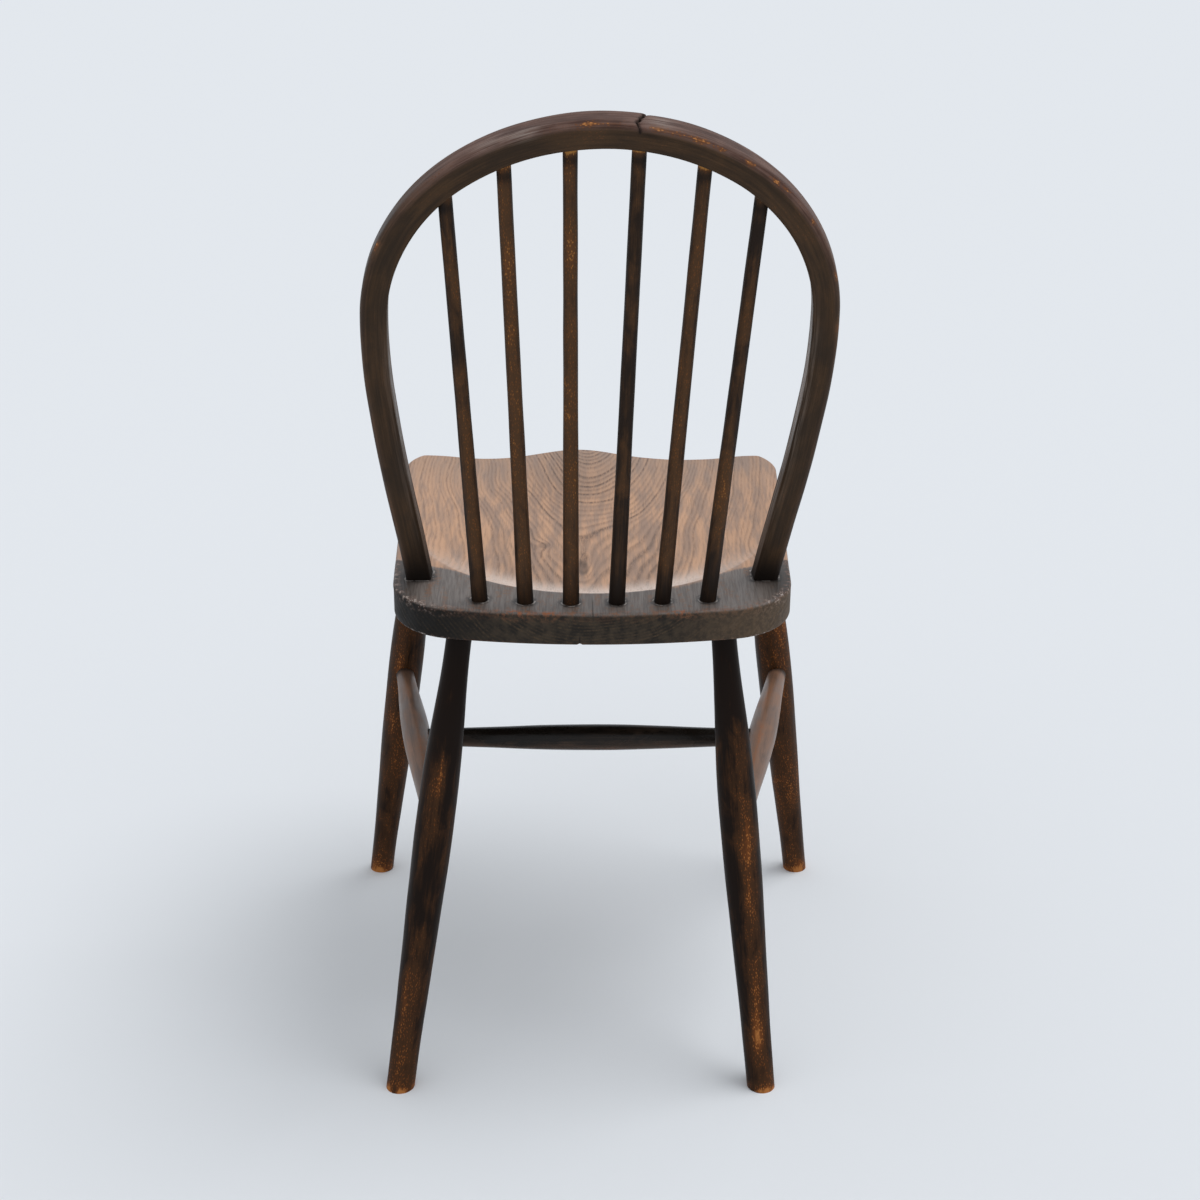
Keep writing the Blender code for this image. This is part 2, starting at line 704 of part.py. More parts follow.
def stretcher_socket(name, tip, towards, diameter, collection):
    """The hole for a stretcher's end, which stops just past the stretcher's tip."""
    along = (towards - tip).normalized()
    return drill(
        name,
        tip - along * FIT_GAP,
        tip + along * LEG_SWELL_DIAMETER,
        diameter / 2 + FIT_GAP,
        STRETCHER_SIDES,
        collection,
    )


def build_undercarriage(chair, cutters, beech):
    floor = floor_cutter(cutters)
    sockets = []
    crossings = []
    for side, hand in ((1, "left"), (-1, "right")):
        rear_leg = build_leg(f"leg_rear_{hand}", True, side, floor, chair, beech)
        front_leg = build_leg(f"leg_front_{hand}", False, side, floor, chair, beech)
        sockets.append(leg_socket(f"socket_rear_{hand}", True, side, cutters))
        sockets.append(leg_socket(f"socket_front_{hand}", False, side, cutters))
        rear_end = stretcher_end(True, side)
        front_end = stretcher_end(False, side)
        stretcher = build_stretcher(
            f"side_stretcher_{hand}",
            rear_end,
            front_end,
            SIDE_STRETCHER_END_DIAMETER,
            SIDE_STRETCHER_SWELL_DIAMETER,
            chair,
            beech,
        )
        for leg, tip, far in ((rear_leg, rear_end, front_end), (front_leg, front_end, rear_end)):
            hole = stretcher_socket(
                f"{leg.name}_hole", tip, far, SIDE_STRETCHER_END_DIAMETER, cutters
            )
            cut(leg, hole)
        crossings.append((stretcher, rear_end.lerp(front_end, 0.5)))
    (left, left_point), (right, right_point) = crossings
    build_stretcher(
        "cross_stretcher",
        right_point,
        left_point,
        CROSS_STRETCHER_END_DIAMETER,
        CROSS_STRETCHER_SWELL_DIAMETER,
        chair,
        beech,
    )
    for stretcher, tip, far in ((left, left_point, right_point), (right, right_point, left_point)):
        hole = stretcher_socket(
            f"{stretcher.name}_hole", tip, far, CROSS_STRETCHER_END_DIAMETER, cutters
        )
        cut(stretcher, hole)
    return sockets


def build_back(seat, chair, cutters, bow_wood, spindle_wood):
    bow = bow_solid("bow", 0.0, chair, bow_wood)
    cut(seat, as_cutter(bow_solid("bow_mortise", FIT_GAP, cutters)))
    trim = under_seat_cutter(cutters)
    cut(bow, trim)
    for side, hand in ((1, "left"), (-1, "right")):
        cut(bow_wedge(f"bow_wedge_{hand}", 0.0, chair, side, spindle_wood), trim)
        cut(bow, as_cutter(bow_wedge(f"wedge_kerf_{hand}", FIT_GAP, cutters, side)))
    for index in range(SPINDLE_COUNT):
        build_spindle(index, chair, spindle_wood)
        seat_hole, bow_hole = spindle_drills(index, cutters)
        cut(seat, seat_hole)
        cut(bow, bow_hole)
    cut(bow, break_cutter(cutters))


def shade_round_pieces(collection):
    for obj in collection.objects:
        if obj.type == "MESH" and obj.data.polygons:
            obj.data.shade_smooth()
            obj.data.set_sharp_from_angle(angle=math.radians(35.0))


def main():
    clear_scene()
    chair = new_collection("hoop_back_chair")
    cutters = new_collection("cutters")
    elm = wood("elm", (0.20, 0.105, 0.060), 0.42)
    bent_ash = wood("bent_ash", (0.060, 0.036, 0.024), 0.40)
    beech = wood("beech", (0.055, 0.031, 0.021), 0.38)
    seat = build_seat(chair, elm)
    cut(seat, saddle_cutter(cutters), *check_cutters(cutters))
    cut(seat, *build_undercarriage(chair, cutters, beech))
    build_back(seat, chair, cutters, bent_ash, beech)
    shade_round_pieces(chair)


main()
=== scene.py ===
import math

import bmesh
import bpy
from mathutils import Matrix, Vector, noise


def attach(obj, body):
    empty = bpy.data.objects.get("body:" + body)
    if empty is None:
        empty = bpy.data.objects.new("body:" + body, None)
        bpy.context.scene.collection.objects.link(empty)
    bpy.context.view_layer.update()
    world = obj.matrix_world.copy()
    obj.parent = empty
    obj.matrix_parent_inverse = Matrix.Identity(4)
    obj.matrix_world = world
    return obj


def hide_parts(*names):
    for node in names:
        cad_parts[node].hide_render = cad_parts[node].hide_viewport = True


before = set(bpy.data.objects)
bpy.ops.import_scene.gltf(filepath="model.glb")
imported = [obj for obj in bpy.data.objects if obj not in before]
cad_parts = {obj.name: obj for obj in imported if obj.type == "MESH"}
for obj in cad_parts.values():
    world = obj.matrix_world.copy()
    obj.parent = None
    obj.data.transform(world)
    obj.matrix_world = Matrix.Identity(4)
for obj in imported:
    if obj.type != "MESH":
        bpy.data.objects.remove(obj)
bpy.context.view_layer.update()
print("frame loaded")


# ---- small helpers ----


def smoothStep(low, high, value):
    t = min(max((value - low) / (high - low), 0.0), 1.0)
    return t * t * (3.0 - 2.0 * t)


def bell(offset, width):
    return math.exp(-((offset / width) ** 2))


def rough(point, scale, seed=0.0):
    return noise.noise(point * scale + Vector((seed, seed * 1.7, -seed)))


def marksAt(marks, along, angle):
    # how strongly the listed marks rub the point at this distance along and angle round a rod
    total = 0.0
    for markAlong, markAngle, halfLength, halfTurn, strength in marks:
        turn = (angle - markAngle + 180.0) % 360.0 - 180.0
        total += strength * bell(along - markAlong, halfLength) * bell(turn, halfTurn)
    return total


def finishPiece(name, mesh, material, nodes):
    piece = bpy.data.objects.new(name, mesh)
    bpy.context.scene.collection.objects.link(piece)
    mesh.materials.append(material)
    mesh.shade_smooth()
    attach(piece, "root")
    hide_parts(*nodes)
    return piece


def roundedOutline(corners, sag):
    # the closed outline through (x, y, radius) corners, each rounded by chords within sag of the arc
    points = []
    for i, (x, y, radius) in enumerate(corners):
        corner = Vector((x, y))
        before = (Vector(corners[i - 1][:2]) - corner).normalized()
        after = (Vector(corners[(i + 1) % len(corners)][:2]) - corner).normalized()
        half = before.angle(after) / 2
        centre = corner + (before + after).normalized() * radius / math.sin(half)
        first = corner + before * radius / math.tan(half) - centre
        turn = math.pi - 2 * half
        side = math.copysign(1.0, before.x * after.y - before.y * after.x)
        pieces = max(2, math.ceil(turn / (2 * math.acos(1.0 - sag / radius))))
        for k in range(pieces + 1):
            angle = -side * turn * k / pieces
            points.append(centre + Matrix.Rotation(angle, 2) @ first)
    return points


def evenPoints(points, count):
    # the same closed outline with count points spaced evenly along it
    closed = points + [points[0]]
    marks = [0.0]
    for a, b in zip(closed, closed[1:]):
        marks.append(marks[-1] + (b - a).length)
    made = []
    i = 0
    for k in range(count):
        target = marks[-1] * k / count
        while marks[i + 1] < target:
            i += 1
        share = (target - marks[i]) / max(marks[i + 1] - marks[i], 1e-9)
        made.append(closed[i].lerp(closed[i + 1], share))
    return made


def outwardNormals(points):
    # unit normals of a closed flat outline, pointing away from its inside
    area = sum(a.x * b.y - b.x * a.y for a, b in zip(points, points[1:] + points[:1]))
    made = []
    for i, point in enumerate(points):
        along = (points[(i + 1) % len(points)] - points[i - 1]).normalized()
        made.append(Vector((along.y, -along.x)) * math.copysign(1.0, area))
    return made


def loft(rings, closeEnds):
    # one ring of vertices, extruded along the list of rings; the two ends may close to a point
    shape = bmesh.new()
    column = shape.verts.layers.int.new("column")
    billet = shape.verts.layers.float_vector.new("billet")
    wear = shape.verts.layers.float_vector.new("wear")
    made = bmesh.ops.create_circle(shape, cap_ends=False, segments=len(rings[0]), radius=1.0)
    for i, vertex in enumerate(made["verts"]):
        vertex[column] = i
    verts = made["verts"]
    edges = shape.edges[:]
    for k, ring in enumerate(rings):
        if k:
            grown = bmesh.ops.extrude_edge_only(shape, edges=edges)["geom"]
            verts = [g for g in grown if isinstance(g, bmesh.types.BMVert)]
            fresh = set(verts)
            edges = [
                g
                for g in grown
                if isinstance(g, bmesh.types.BMEdge) and g.verts[0] in fresh and g.verts[1] in fresh
            ]
        for vertex in verts:
            vertex.co, vertex[billet], vertex[wear] = ring[vertex[column]]
    if closeEnds:
        bmesh.ops.remove_doubles(shape, verts=shape.verts, dist=1e-6)
    bmesh.ops.recalc_face_normals(shape, faces=shape.faces)
    return shape


def meshFrom(shape, name):
    mesh = bpy.data.meshes.new(name)
    shape.to_mesh(mesh)
    shape.free()
    return mesh


# ---- shader helpers ----


def shaderNode(tree, kind, **values):
    made = tree.nodes.new("ShaderNode" + kind)
    for key, value in values.items():
        setattr(made, key, value)
    return made


def feed(tree, socket, value):
    if isinstance(value, bpy.types.NodeSocket):
        tree.links.new(value, socket)
    else:
        socket.default_value = value


def mathNode(tree, operation, a, b=0.0, clamp=False):
    made = shaderNode(tree, "Math", operation=operation, use_clamp=clamp)
    feed(tree, made.inputs[0], a)
    feed(tree, made.inputs[1], b)
    return made.outputs[0]


def scaled(tree, value, factor):
    return mathNode(tree, "MULTIPLY", value, factor)


def apart(tree, vector):
    # the three parts of a vector
    made = shaderNode(tree, "SeparateXYZ")
    feed(tree, made.inputs[0], vector)
    return tuple(made.outputs)


def ramp(tree, value, low, high, outLow=0.0, outHigh=1.0):
    # a smooth rise from outLow to outHigh as value goes from low to high
    made = shaderNode(tree, "MapRange", interpolation_type="SMOOTHSTEP")
    for socket, part in zip(made.inputs, (value, low, high, outLow, outHigh)):
        feed(tree, socket, part)
    return made.outputs[0]


def stretched(tree, vector, scale, place=(0.0, 0.0, 0.0)):
    made = shaderNode(tree, "Mapping")
    feed(tree, made.inputs["Vector"], vector)
    made.inputs["Scale"].default_value = scale
    made.inputs["Location"].default_value = place
    return made.outputs[0]


def cloud(tree, vector, scale, detail=3.0, roughness=0.5, distortion=0.0):
    made = shaderNode(tree, "TexNoise")
    feed(tree, made.inputs["Vector"], vector)
    made.inputs["Scale"].default_value = scale
    made.inputs["Detail"].default_value = detail
    made.inputs["Roughness"].default_value = roughness
    made.inputs["Distortion"].default_value = distortion
    return made.outputs[0]


def blendColour(tree, share, first, second, kind="MIX"):
    made = shaderNode(tree, "Mix", data_type="RGBA", blend_type=kind)
    feed(tree, made.inputs["Factor"], share)
    for socket, colour in zip((made.inputs[6], made.inputs[7]), (first, second)):
        feed(tree, socket, colour if isinstance(colour, bpy.types.NodeSocket) else (*colour, 1.0))
    return made.outputs[2]


def newGroup(name, inputs, outputs):
    group = bpy.data.node_groups.new(name, "ShaderNodeTree")
    for label, kind, start in inputs:
        socket = group.interface.new_socket(label, in_out="INPUT", socket_type="NodeSocket" + kind)
        if start is not None:
            socket.default_value = start
    for label, kind in outputs:
        group.interface.new_socket(label, in_out="OUTPUT", socket_type="NodeSocket" + kind)
    return group, group.nodes.new("NodeGroupInput").outputs, group.nodes.new("NodeGroupOutput").inputs


def useGroup(tree, group, **values):
    made = shaderNode(tree, "Group", node_tree=group)
    for label, value in values.items():
        feed(tree, made.inputs[label], value)
    return made.outputs


def makeStickGrain():
    # straight grain in the piece's own billet: x and y across it, z along it
    group, given, out = newGroup(
        "stickGrain",
        [("Billet", "Vector", None)],
        [("Streaks", "Float"), ("Blotches", "Float"), ("Flecks", "Float"), ("Height", "Float")],
    )
    billet = given["Billet"]
    streaks = cloud(group, stretched(group, billet, (360.0, 360.0, 10.0)), 1.0, 5.0, 0.62)
    threads = cloud(group, stretched(group, billet, (1200.0, 1200.0, 34.0)), 1.0, 3.0, 0.6)
    blotches = cloud(group, stretched(group, billet, (62.0, 62.0, 24.0)), 1.0, 6.0, 0.62, 0.5)
    dots = shaderNode(group, "TexVoronoi", feature="F1")
    feed(group, dots.inputs["Vector"], stretched(group, billet, (780.0, 780.0, 330.0)))
    dots.inputs["Scale"].default_value = 1.0
    flecks = ramp(group, dots.outputs["Distance"], 0.16, 0.46, 1.0, 0.0)
    both = mathNode(group, "ADD", scaled(group, streaks, 0.6), scaled(group, threads, 0.4))
    feed(group, out["Streaks"], both)
    feed(group, out["Blotches"], blotches)
    feed(group, out["Flecks"], flecks)
    feed(group, out["Height"], both)
    return group


def makeWornStain():
    # how far the stain is rubbed through: Rub comes from the piece, the rest breaks it up
    group, given, out = newGroup(
        "wornStain",
        [
            ("Rub", "Float", 0.0),
            ("Streaks", "Float", 0.5),
            ("Blotches", "Float", 0.5),
            ("Flecks", "Float", 0.0),
            ("Patchy", "Float", 2.0),
            ("Dotted", "Float", 0.55),
        ],
        [("Brown", "Float"), ("Rust", "Float"), ("Bright", "Float")],
    )
    lengthwise = scaled(group, mathNode(group, "SUBTRACT", given["Streaks"], 0.5), 1.3)
    patchy = scaled(group, mathNode(group, "SUBTRACT", given["Blotches"], 0.5), given["Patchy"])
    total = mathNode(group, "ADD", given["Rub"], mathNode(group, "ADD", lengthwise, patchy))
    dots = scaled(group, mathNode(group, "SUBTRACT", given["Flecks"], 0.4), given["Dotted"])
    dotted = mathNode(group, "ADD", total, dots)
    feed(group, out["Brown"], ramp(group, total, -0.30, 0.45))
    feed(group, out["Rust"], ramp(group, dotted, 0.22, 0.95))
    feed(group, out["Bright"], ramp(group, dotted, 0.74, 1.28))
    return group


print("building shader groups")
stickGrain = makeStickGrain()
wornStain = makeWornStain()

stickFinish = {
    "legStain": {
        "dark": (0.0100, 0.0052, 0.0034),
        "brown": (0.0520, 0.0225, 0.0092),
        "rust": (0.1500, 0.0470, 0.0120),
        "bright": (0.3900, 0.1500, 0.0400),
        "roughness": 0.40,
        "shine": 0.08,
        "patchy": 2.2,
        "dotted": 0.62,
    },
    "bowStain": {
        "dark": (0.0270, 0.0155, 0.0080),
        "brown": (0.0720, 0.0380, 0.0175),
        "rust": (0.1400, 0.0520, 0.0190),
        "bright": (0.4600, 0.1900, 0.0580),
        "roughness": 0.48,
        "shine": 0.14,
        "patchy": 1.0,
        "dotted": 0.55,
        "outerDark": (0.0640, 0.0300, 0.0215),
        "outerPale": (0.1750, 0.1050, 0.0850),
    },
    "spindleStain": {
        "dark": (0.0170, 0.0095, 0.0058),
        "brown": (0.0740, 0.0350, 0.0145),
        "rust": (0.1500, 0.0540, 0.0150),
        "bright": (0.4400, 0.2000, 0.0480),
        "roughness": 0.44,
        "shine": 0.11,
        "patchy": 2.0,
        "dotted": 0.55,
    },
    # painted sheen: the side stretchers' colours are lighter and greyer than the other sticks' to stand in for the
    # sheen on their tops
    "sideStretcherStainAndSheen": {
        "dark": (0.1020, 0.0620, 0.0440),
        "brown": (0.2250, 0.1230, 0.0770),
        "rust": (0.3000, 0.1150, 0.0500),
        "bright": (0.5000, 0.2500, 0.1300),
        "roughness": 0.36,
        "shine": 0.26,
        "patchy": 1.4,
        "dotted": 0.40,
    },
    "crossStretcherStain": {
        "dark": (0.0085, 0.0062, 0.0048),
        "brown": (0.0550, 0.0330, 0.0220),
        "rust": (0.1200, 0.0450, 0.0180),
        "bright": (0.3000, 0.1400, 0.0600),
        "roughness": 0.26,
        "shine": 0.20,
        "patchy": 1.4,
        "dotted": 0.40,
    },
}


def stickMaterial(name):
    look = stickFinish[name]
    made = bpy.data.materials.new(name)
    made.use_nodes = True
    tree = made.node_tree
    shader = tree.nodes["Principled BSDF"]
    billet = shaderNode(tree, "Attribute", attribute_name="billet").outputs["Vector"]
    rub, scuffAndSheen, dirtAndShade = apart(tree, shaderNode(tree, "Attribute", attribute_name="wear").outputs["Vector"])
    grain = useGroup(tree, stickGrain, Billet=billet)
    worn = useGroup(
        tree,
        wornStain,
        Rub=rub,
        Streaks=grain["Streaks"],
        Blotches=grain["Blotches"],
        Flecks=grain["Flecks"],
        Patchy=look["patchy"],
        Dotted=look["dotted"],
    )
    colour = blendColour(tree, worn["Brown"], look["dark"], look["brown"])
    if "outerPale" in look:
        # the face that hands and light reach is faded redder than the back, most round the crown
        mottle = mathNode(tree, "ADD", scaled(tree, grain["Streaks"], 0.6), scaled(tree, grain["Blotches"], 0.4))
        outer = blendColour(tree, ramp(tree, mottle, 0.40, 0.60), look["outerDark"], look["outerPale"])
        outward, back, along = apart(tree, billet)
        crown = ramp(tree, mathNode(tree, "ABSOLUTE", mathNode(tree, "ADD", along, 0.03)), 0.12, 0.24, 1.0, 0.12)
        faded = mathNode(tree, "MULTIPLY", ramp(tree, outward, 0.0040, 0.0088), crown)
        colour = blendColour(tree, faded, colour, outer)
    colour = blendColour(tree, worn["Rust"], colour, look["rust"])
    colour = blendColour(tree, worn["Bright"], colour, look["bright"])
    # pale scuffs, with painted highlights and a painted reflection, only on the bow
    scuffedAndSheen = mathNode(tree, "MULTIPLY", scuffAndSheen, ramp(tree, grain["Streaks"], 0.42, 0.62))
    colour = blendColour(tree, scuffedAndSheen, colour, (0.36, 0.31, 0.28))
    # near-black dirt, and painted shade where the attribute marks shaded places such as the leg tops under the seat
    colour = blendColour(tree, dirtAndShade, colour, (0.0075, 0.0055, 0.0045))
    feed(tree, shader.inputs["Base Color"], colour)
    gloss = ramp(tree, grain["Blotches"], 0.35, 0.65, look["roughness"] - 0.06, look["roughness"] + 0.12)
    feed(tree, shader.inputs["Roughness"], mathNode(tree, "ADD", gloss, scaled(tree, dirtAndShade, 0.2)))
    shader.inputs["Specular IOR Level"].default_value = look["shine"]
    bump = shaderNode(tree, "Bump")
    bump.inputs["Strength"].default_value = 0.35
    bump.inputs["Distance"].default_value = 0.0006
    height = mathNode(tree, "SUBTRACT", grain["Height"], scaled(tree, worn["Bright"], 0.25))
    feed(tree, bump.inputs["Height"], height)
    feed(tree, shader.inputs["Normal"], bump.outputs[0])
    return made


# ---- seat ----

seat = {
    "top": 0.448,
    "under": 0.4184,
    "rear": 0.1669,
    "front": -0.2351,
    "frontHalf": 0.1858,
    "rearHalf": 0.1740,
    "frontCorner": 0.050,
    "rearCorner": 0.064,
    "rearCurve": (0.65, math.radians(10.4)),
    "frontCurve": (2.0, math.radians(2.7)),
    "saddleHalf": 0.168,
    "saddleRear": 0.159,
    "saddleCentre": -0.0361,
    "saddleDepth": 0.0125,
    "rearRun": 0.020,
    "sideRun": 0.035,
    "pommel": (0.0120, 0.014, 0.057, 0.150),  # rise, middle, half width, length
    "arris": 0.0030,
    "columns": 300,
    "check": (0.0, 0.030, 0.0009),  # x, length, depth of the drying check in the rear land
    "notch": (0.011, 0.0024),  # x and size of the chip under the rear edge
    "rubs": ((0.0647, 0.012), (0.0370, 0.005), (-0.0780, 0.007)),  # x and width along the rear arris
    "chips": ((0.1500, 0.026), (-0.1620, 0.012)),
}


def seatOutline():
    radius, angle = seat["rearCurve"]
    rearApex = seat["rear"] + radius * (1.0 / math.cos(angle) - 1.0)
    rearCornerY = rearApex - seat["rearHalf"] * math.tan(angle)
    frontRadius, frontAngle = seat["frontCurve"]
    frontApex = seat["front"] - frontRadius * (1.0 / math.cos(frontAngle) - 1.0)
    frontCornerY = frontApex + seat["frontHalf"] * math.tan(frontAngle)
    corners = [
        (0.0, rearApex, radius),
        (seat["rearHalf"], rearCornerY, seat["rearCorner"]),
        (seat["frontHalf"], frontCornerY, seat["frontCorner"]),
        (0.0, frontApex, frontRadius),
        (-seat["frontHalf"], frontCornerY, seat["frontCorner"]),
        (-seat["rearHalf"], rearCornerY, seat["rearCorner"]),
    ]
    points = evenPoints(roundedOutline(corners, 0.00003), seat["columns"])
    checkX = seat["check"][0]
    notchX, notchSize = seat["notch"]
    extra = [checkX + d * 0.0007 for d in (-1, 0, 1)] + [notchX + d * notchSize for d in (-1, -0.5, 0, 0.5, 1)]
    for x in extra:
        for i in range(len(points)):
            a, b = points[i - 1], points[i]
            if a.y > 0 and (a.x - x) * (b.x - x) < 0:
                points.insert(i, a.lerp(b, (x - a.x) / (b.x - a.x)))
                break
    return points


def saddleInside(x, y):
    # distance in from the saddle's rim, and the run over which it falls there
    rearward = max(y - seat["saddleCentre"], 0.0) * seat["saddleHalf"] / seat["saddleRear"]
    reach = max(math.hypot(x, rearward), 0.001)
    run = seat["sideRun"] + (seat["rearRun"] - seat["sideRun"]) * rearward / reach
    return seat["saddleHalf"] - reach, run


def saddleDrop(x, y):
    inside, run = saddleInside(x, y)
    rise, middle, halfWidth, length = seat["pommel"]
    if inside < 0.0:
        drop = inside * seat["saddleDepth"] / run
    else:
        climb = smoothStep(0.0, 1.0, (seat["front"] + length - y) / length)
        hump = rise * bell(x - middle, halfWidth) * climb
        drop = (seat["saddleDepth"] - hump) * (1.0 - math.exp(-inside / run))
    return 0.5 * (drop + math.sqrt(drop * drop + 0.0004**2)) - 0.0002 * bell(drop, 0.002)


# ---- bow ----

bow = {
    "lean": math.radians(15.0),
    "footY": 0.0844,
    "height": 0.4356,
    "width": 0.0220,
    "depth": 0.0208,
    "outerRound": 0.0052,
    "innerRound": 0.0018,
    "crownDeepen": 0.17,  # the rod is left deeper, and a hair taller, round its crown
    "crownRise": 0.0007,
    "crownReach": 0.19,
    "sideSpring": (0.0022, 0.420, 0.075),  # how far the sides have sprung out, where along, and the reach
    "crownRadius": 0.1997,
    "shoulderRadius": 0.162,
    "sideRadius": 0.4935,
    "crownEnd": math.radians(57.4),
    "shoulderEnd": math.radians(2.5),
    "splay": math.radians(7.7),
    "rack": -0.0196,
    "end": 0.4182,  # height of the feet's ends, a hair proud of the seat's underside
    "sectionPoints": 52,
}
bowUp = Vector((0.0, math.sin(bow["lean"]), math.cos(bow["lean"])))
bowBack = Vector((0.0, math.cos(bow["lean"]), -math.sin(bow["lean"])))
bowArcs = (
    (bow["crownRadius"], bow["shoulderRadius"], bow["crownEnd"]),
    (bow["shoulderRadius"], bow["sideRadius"], bow["shoulderEnd"]),
    (bow["sideRadius"], 0.0, -bow["splay"]),
)


def bowPoint(distance):
    # centre line point and outward normal in the bow's plane; positive distances run to the left foot
    side = math.copysign(1.0, distance)
    left = abs(distance)
    centre = Vector((0.0, bow["height"] - bow["crownRadius"]))
    start = math.pi / 2
    for radius, nextRadius, end in bowArcs:
        length = radius * (start - end)
        if left <= length:
            angle = start - left / radius
            normal = Vector((math.cos(angle), math.sin(angle)))
            point = centre + normal * radius
            return Vector((side * point.x, point.y)), Vector((side * normal.x, normal.y))
        left -= length
        normal = Vector((math.cos(end), math.sin(end)))
        centre = centre + normal * (radius - nextRadius)
        start = end
    point = centre + Vector((-math.sin(bow["splay"]), -math.cos(bow["splay"]))) * left
    return Vector((side * point.x, point.y)), Vector((side * normal.x, normal.y))


def bowWorld(flat):
    return Vector((flat.x + bow["rack"] * flat.y, bow["footY"], seat["top"])) + bowUp * flat.y


bowArcLength = (
    bow["crownRadius"] * (math.pi / 2 - bow["crownEnd"])
    + bow["shoulderRadius"] * (bow["crownEnd"] - bow["shoulderEnd"])
    + bow["sideRadius"] * (bow["shoulderEnd"] + bow["splay"])
)
bowLength = bowArcLength + (bowPoint(bowArcLength)[0].y + 0.055) / math.cos(bow["splay"])

breakAcross = {
    # (across the section from front to back, along the bow)
    "path": (
        (-0.0125, -0.0304),
        (-0.0085, -0.0300),
        (-0.0060, -0.0270),
        (-0.0040, -0.0277),
        (-0.0010, -0.0249),
        (0.0025, -0.0247),
        (0.0055, -0.0218),
        (0.0085, -0.0236),
        (0.0125, -0.0275),
    ),
    "fineFrom": -0.0360,
    "fineStep": 0.0004,
    "fineCount": 50,
    "halfWidth": 0.0008,
    "deep": 0.0042,
    "drop": 0.0011,  # how far the right piece has sunk beside the break
}

bowMarks = (
    # distance along, across the section in degrees from outward towards the back, half length, half width, rub
    (0.0115, 42.0, 0.0085, 13.0, 0.92),
    (-0.0050, 44.0, 0.0080, 10.0, 0.60),
    (-0.0375, 44.0, 0.0055, 13.0, 0.92),
    (-0.0520, 46.0, 0.0090, 10.0, 0.70),
    (-0.0700, 48.0, 0.0080, 12.0, 0.84),
    (-0.0875, 50.0, 0.0040, 10.0, 1.00),
    (-0.1120, 48.0, 0.0050, 11.0, 1.35),
    (-0.1370, 46.0, 0.0045, 11.0, 1.35),
    (-0.1480, 44.0, 0.0030, 9.0, 1.25),
    (-0.1820, 42.0, 0.0030, 9.0, 1.20),
    (-0.2330, 40.0, 0.0045, 10.0, 1.20),
    (-0.2800, 44.0, 0.0060, 9.0, 0.75),
    (0.2065, 40.0, 0.0032, 11.0, 1.50),
)
bowScuffsAndSheen = (
    # pale patches round the crown: painted highlights, with some scuffing
    (0.0595, 36.0, 0.0105, 20.0, 0.95),
    (0.0850, 22.0, 0.0140, 24.0, 0.50),
    (-0.0400, 10.0, 0.0090, 30.0, 0.55),
    # painted reflection: the inner faces of the two arms are made pale, most on the right, for the pale surroundings
    # they reflect at a grazing angle
    (-0.3400, 180.0, 0.0700, 36.0, 1.90),
    (-0.4700, 180.0, 0.0600, 34.0, 0.50),
    (0.3500, 180.0, 0.0800, 34.0, 0.75),
    (0.4600, 180.0, 0.0700, 34.0, 0.50),
)


def breakCentre(depth):
    path = breakAcross["path"]
    for (d0, s0), (d1, s1) in zip(path, path[1:]):
        if depth <= d1:
            return s0 + (s1 - s0) * (depth - d0) / (d1 - d0)
    return path[-1][1]


def bowStations():
    step = 0.0045
    count = round(2 * bowLength / step)
    marks = [-bowLength + 2 * bowLength * k / count for k in range(count + 1)]
    first, fine, number = breakAcross["fineFrom"], breakAcross["fineStep"], breakAcross["fineCount"]
    marks = [m for m in marks if not first - fine < m < first + fine * (number + 1)]
    return sorted(marks + [first + fine * k for k in range(number + 1)])


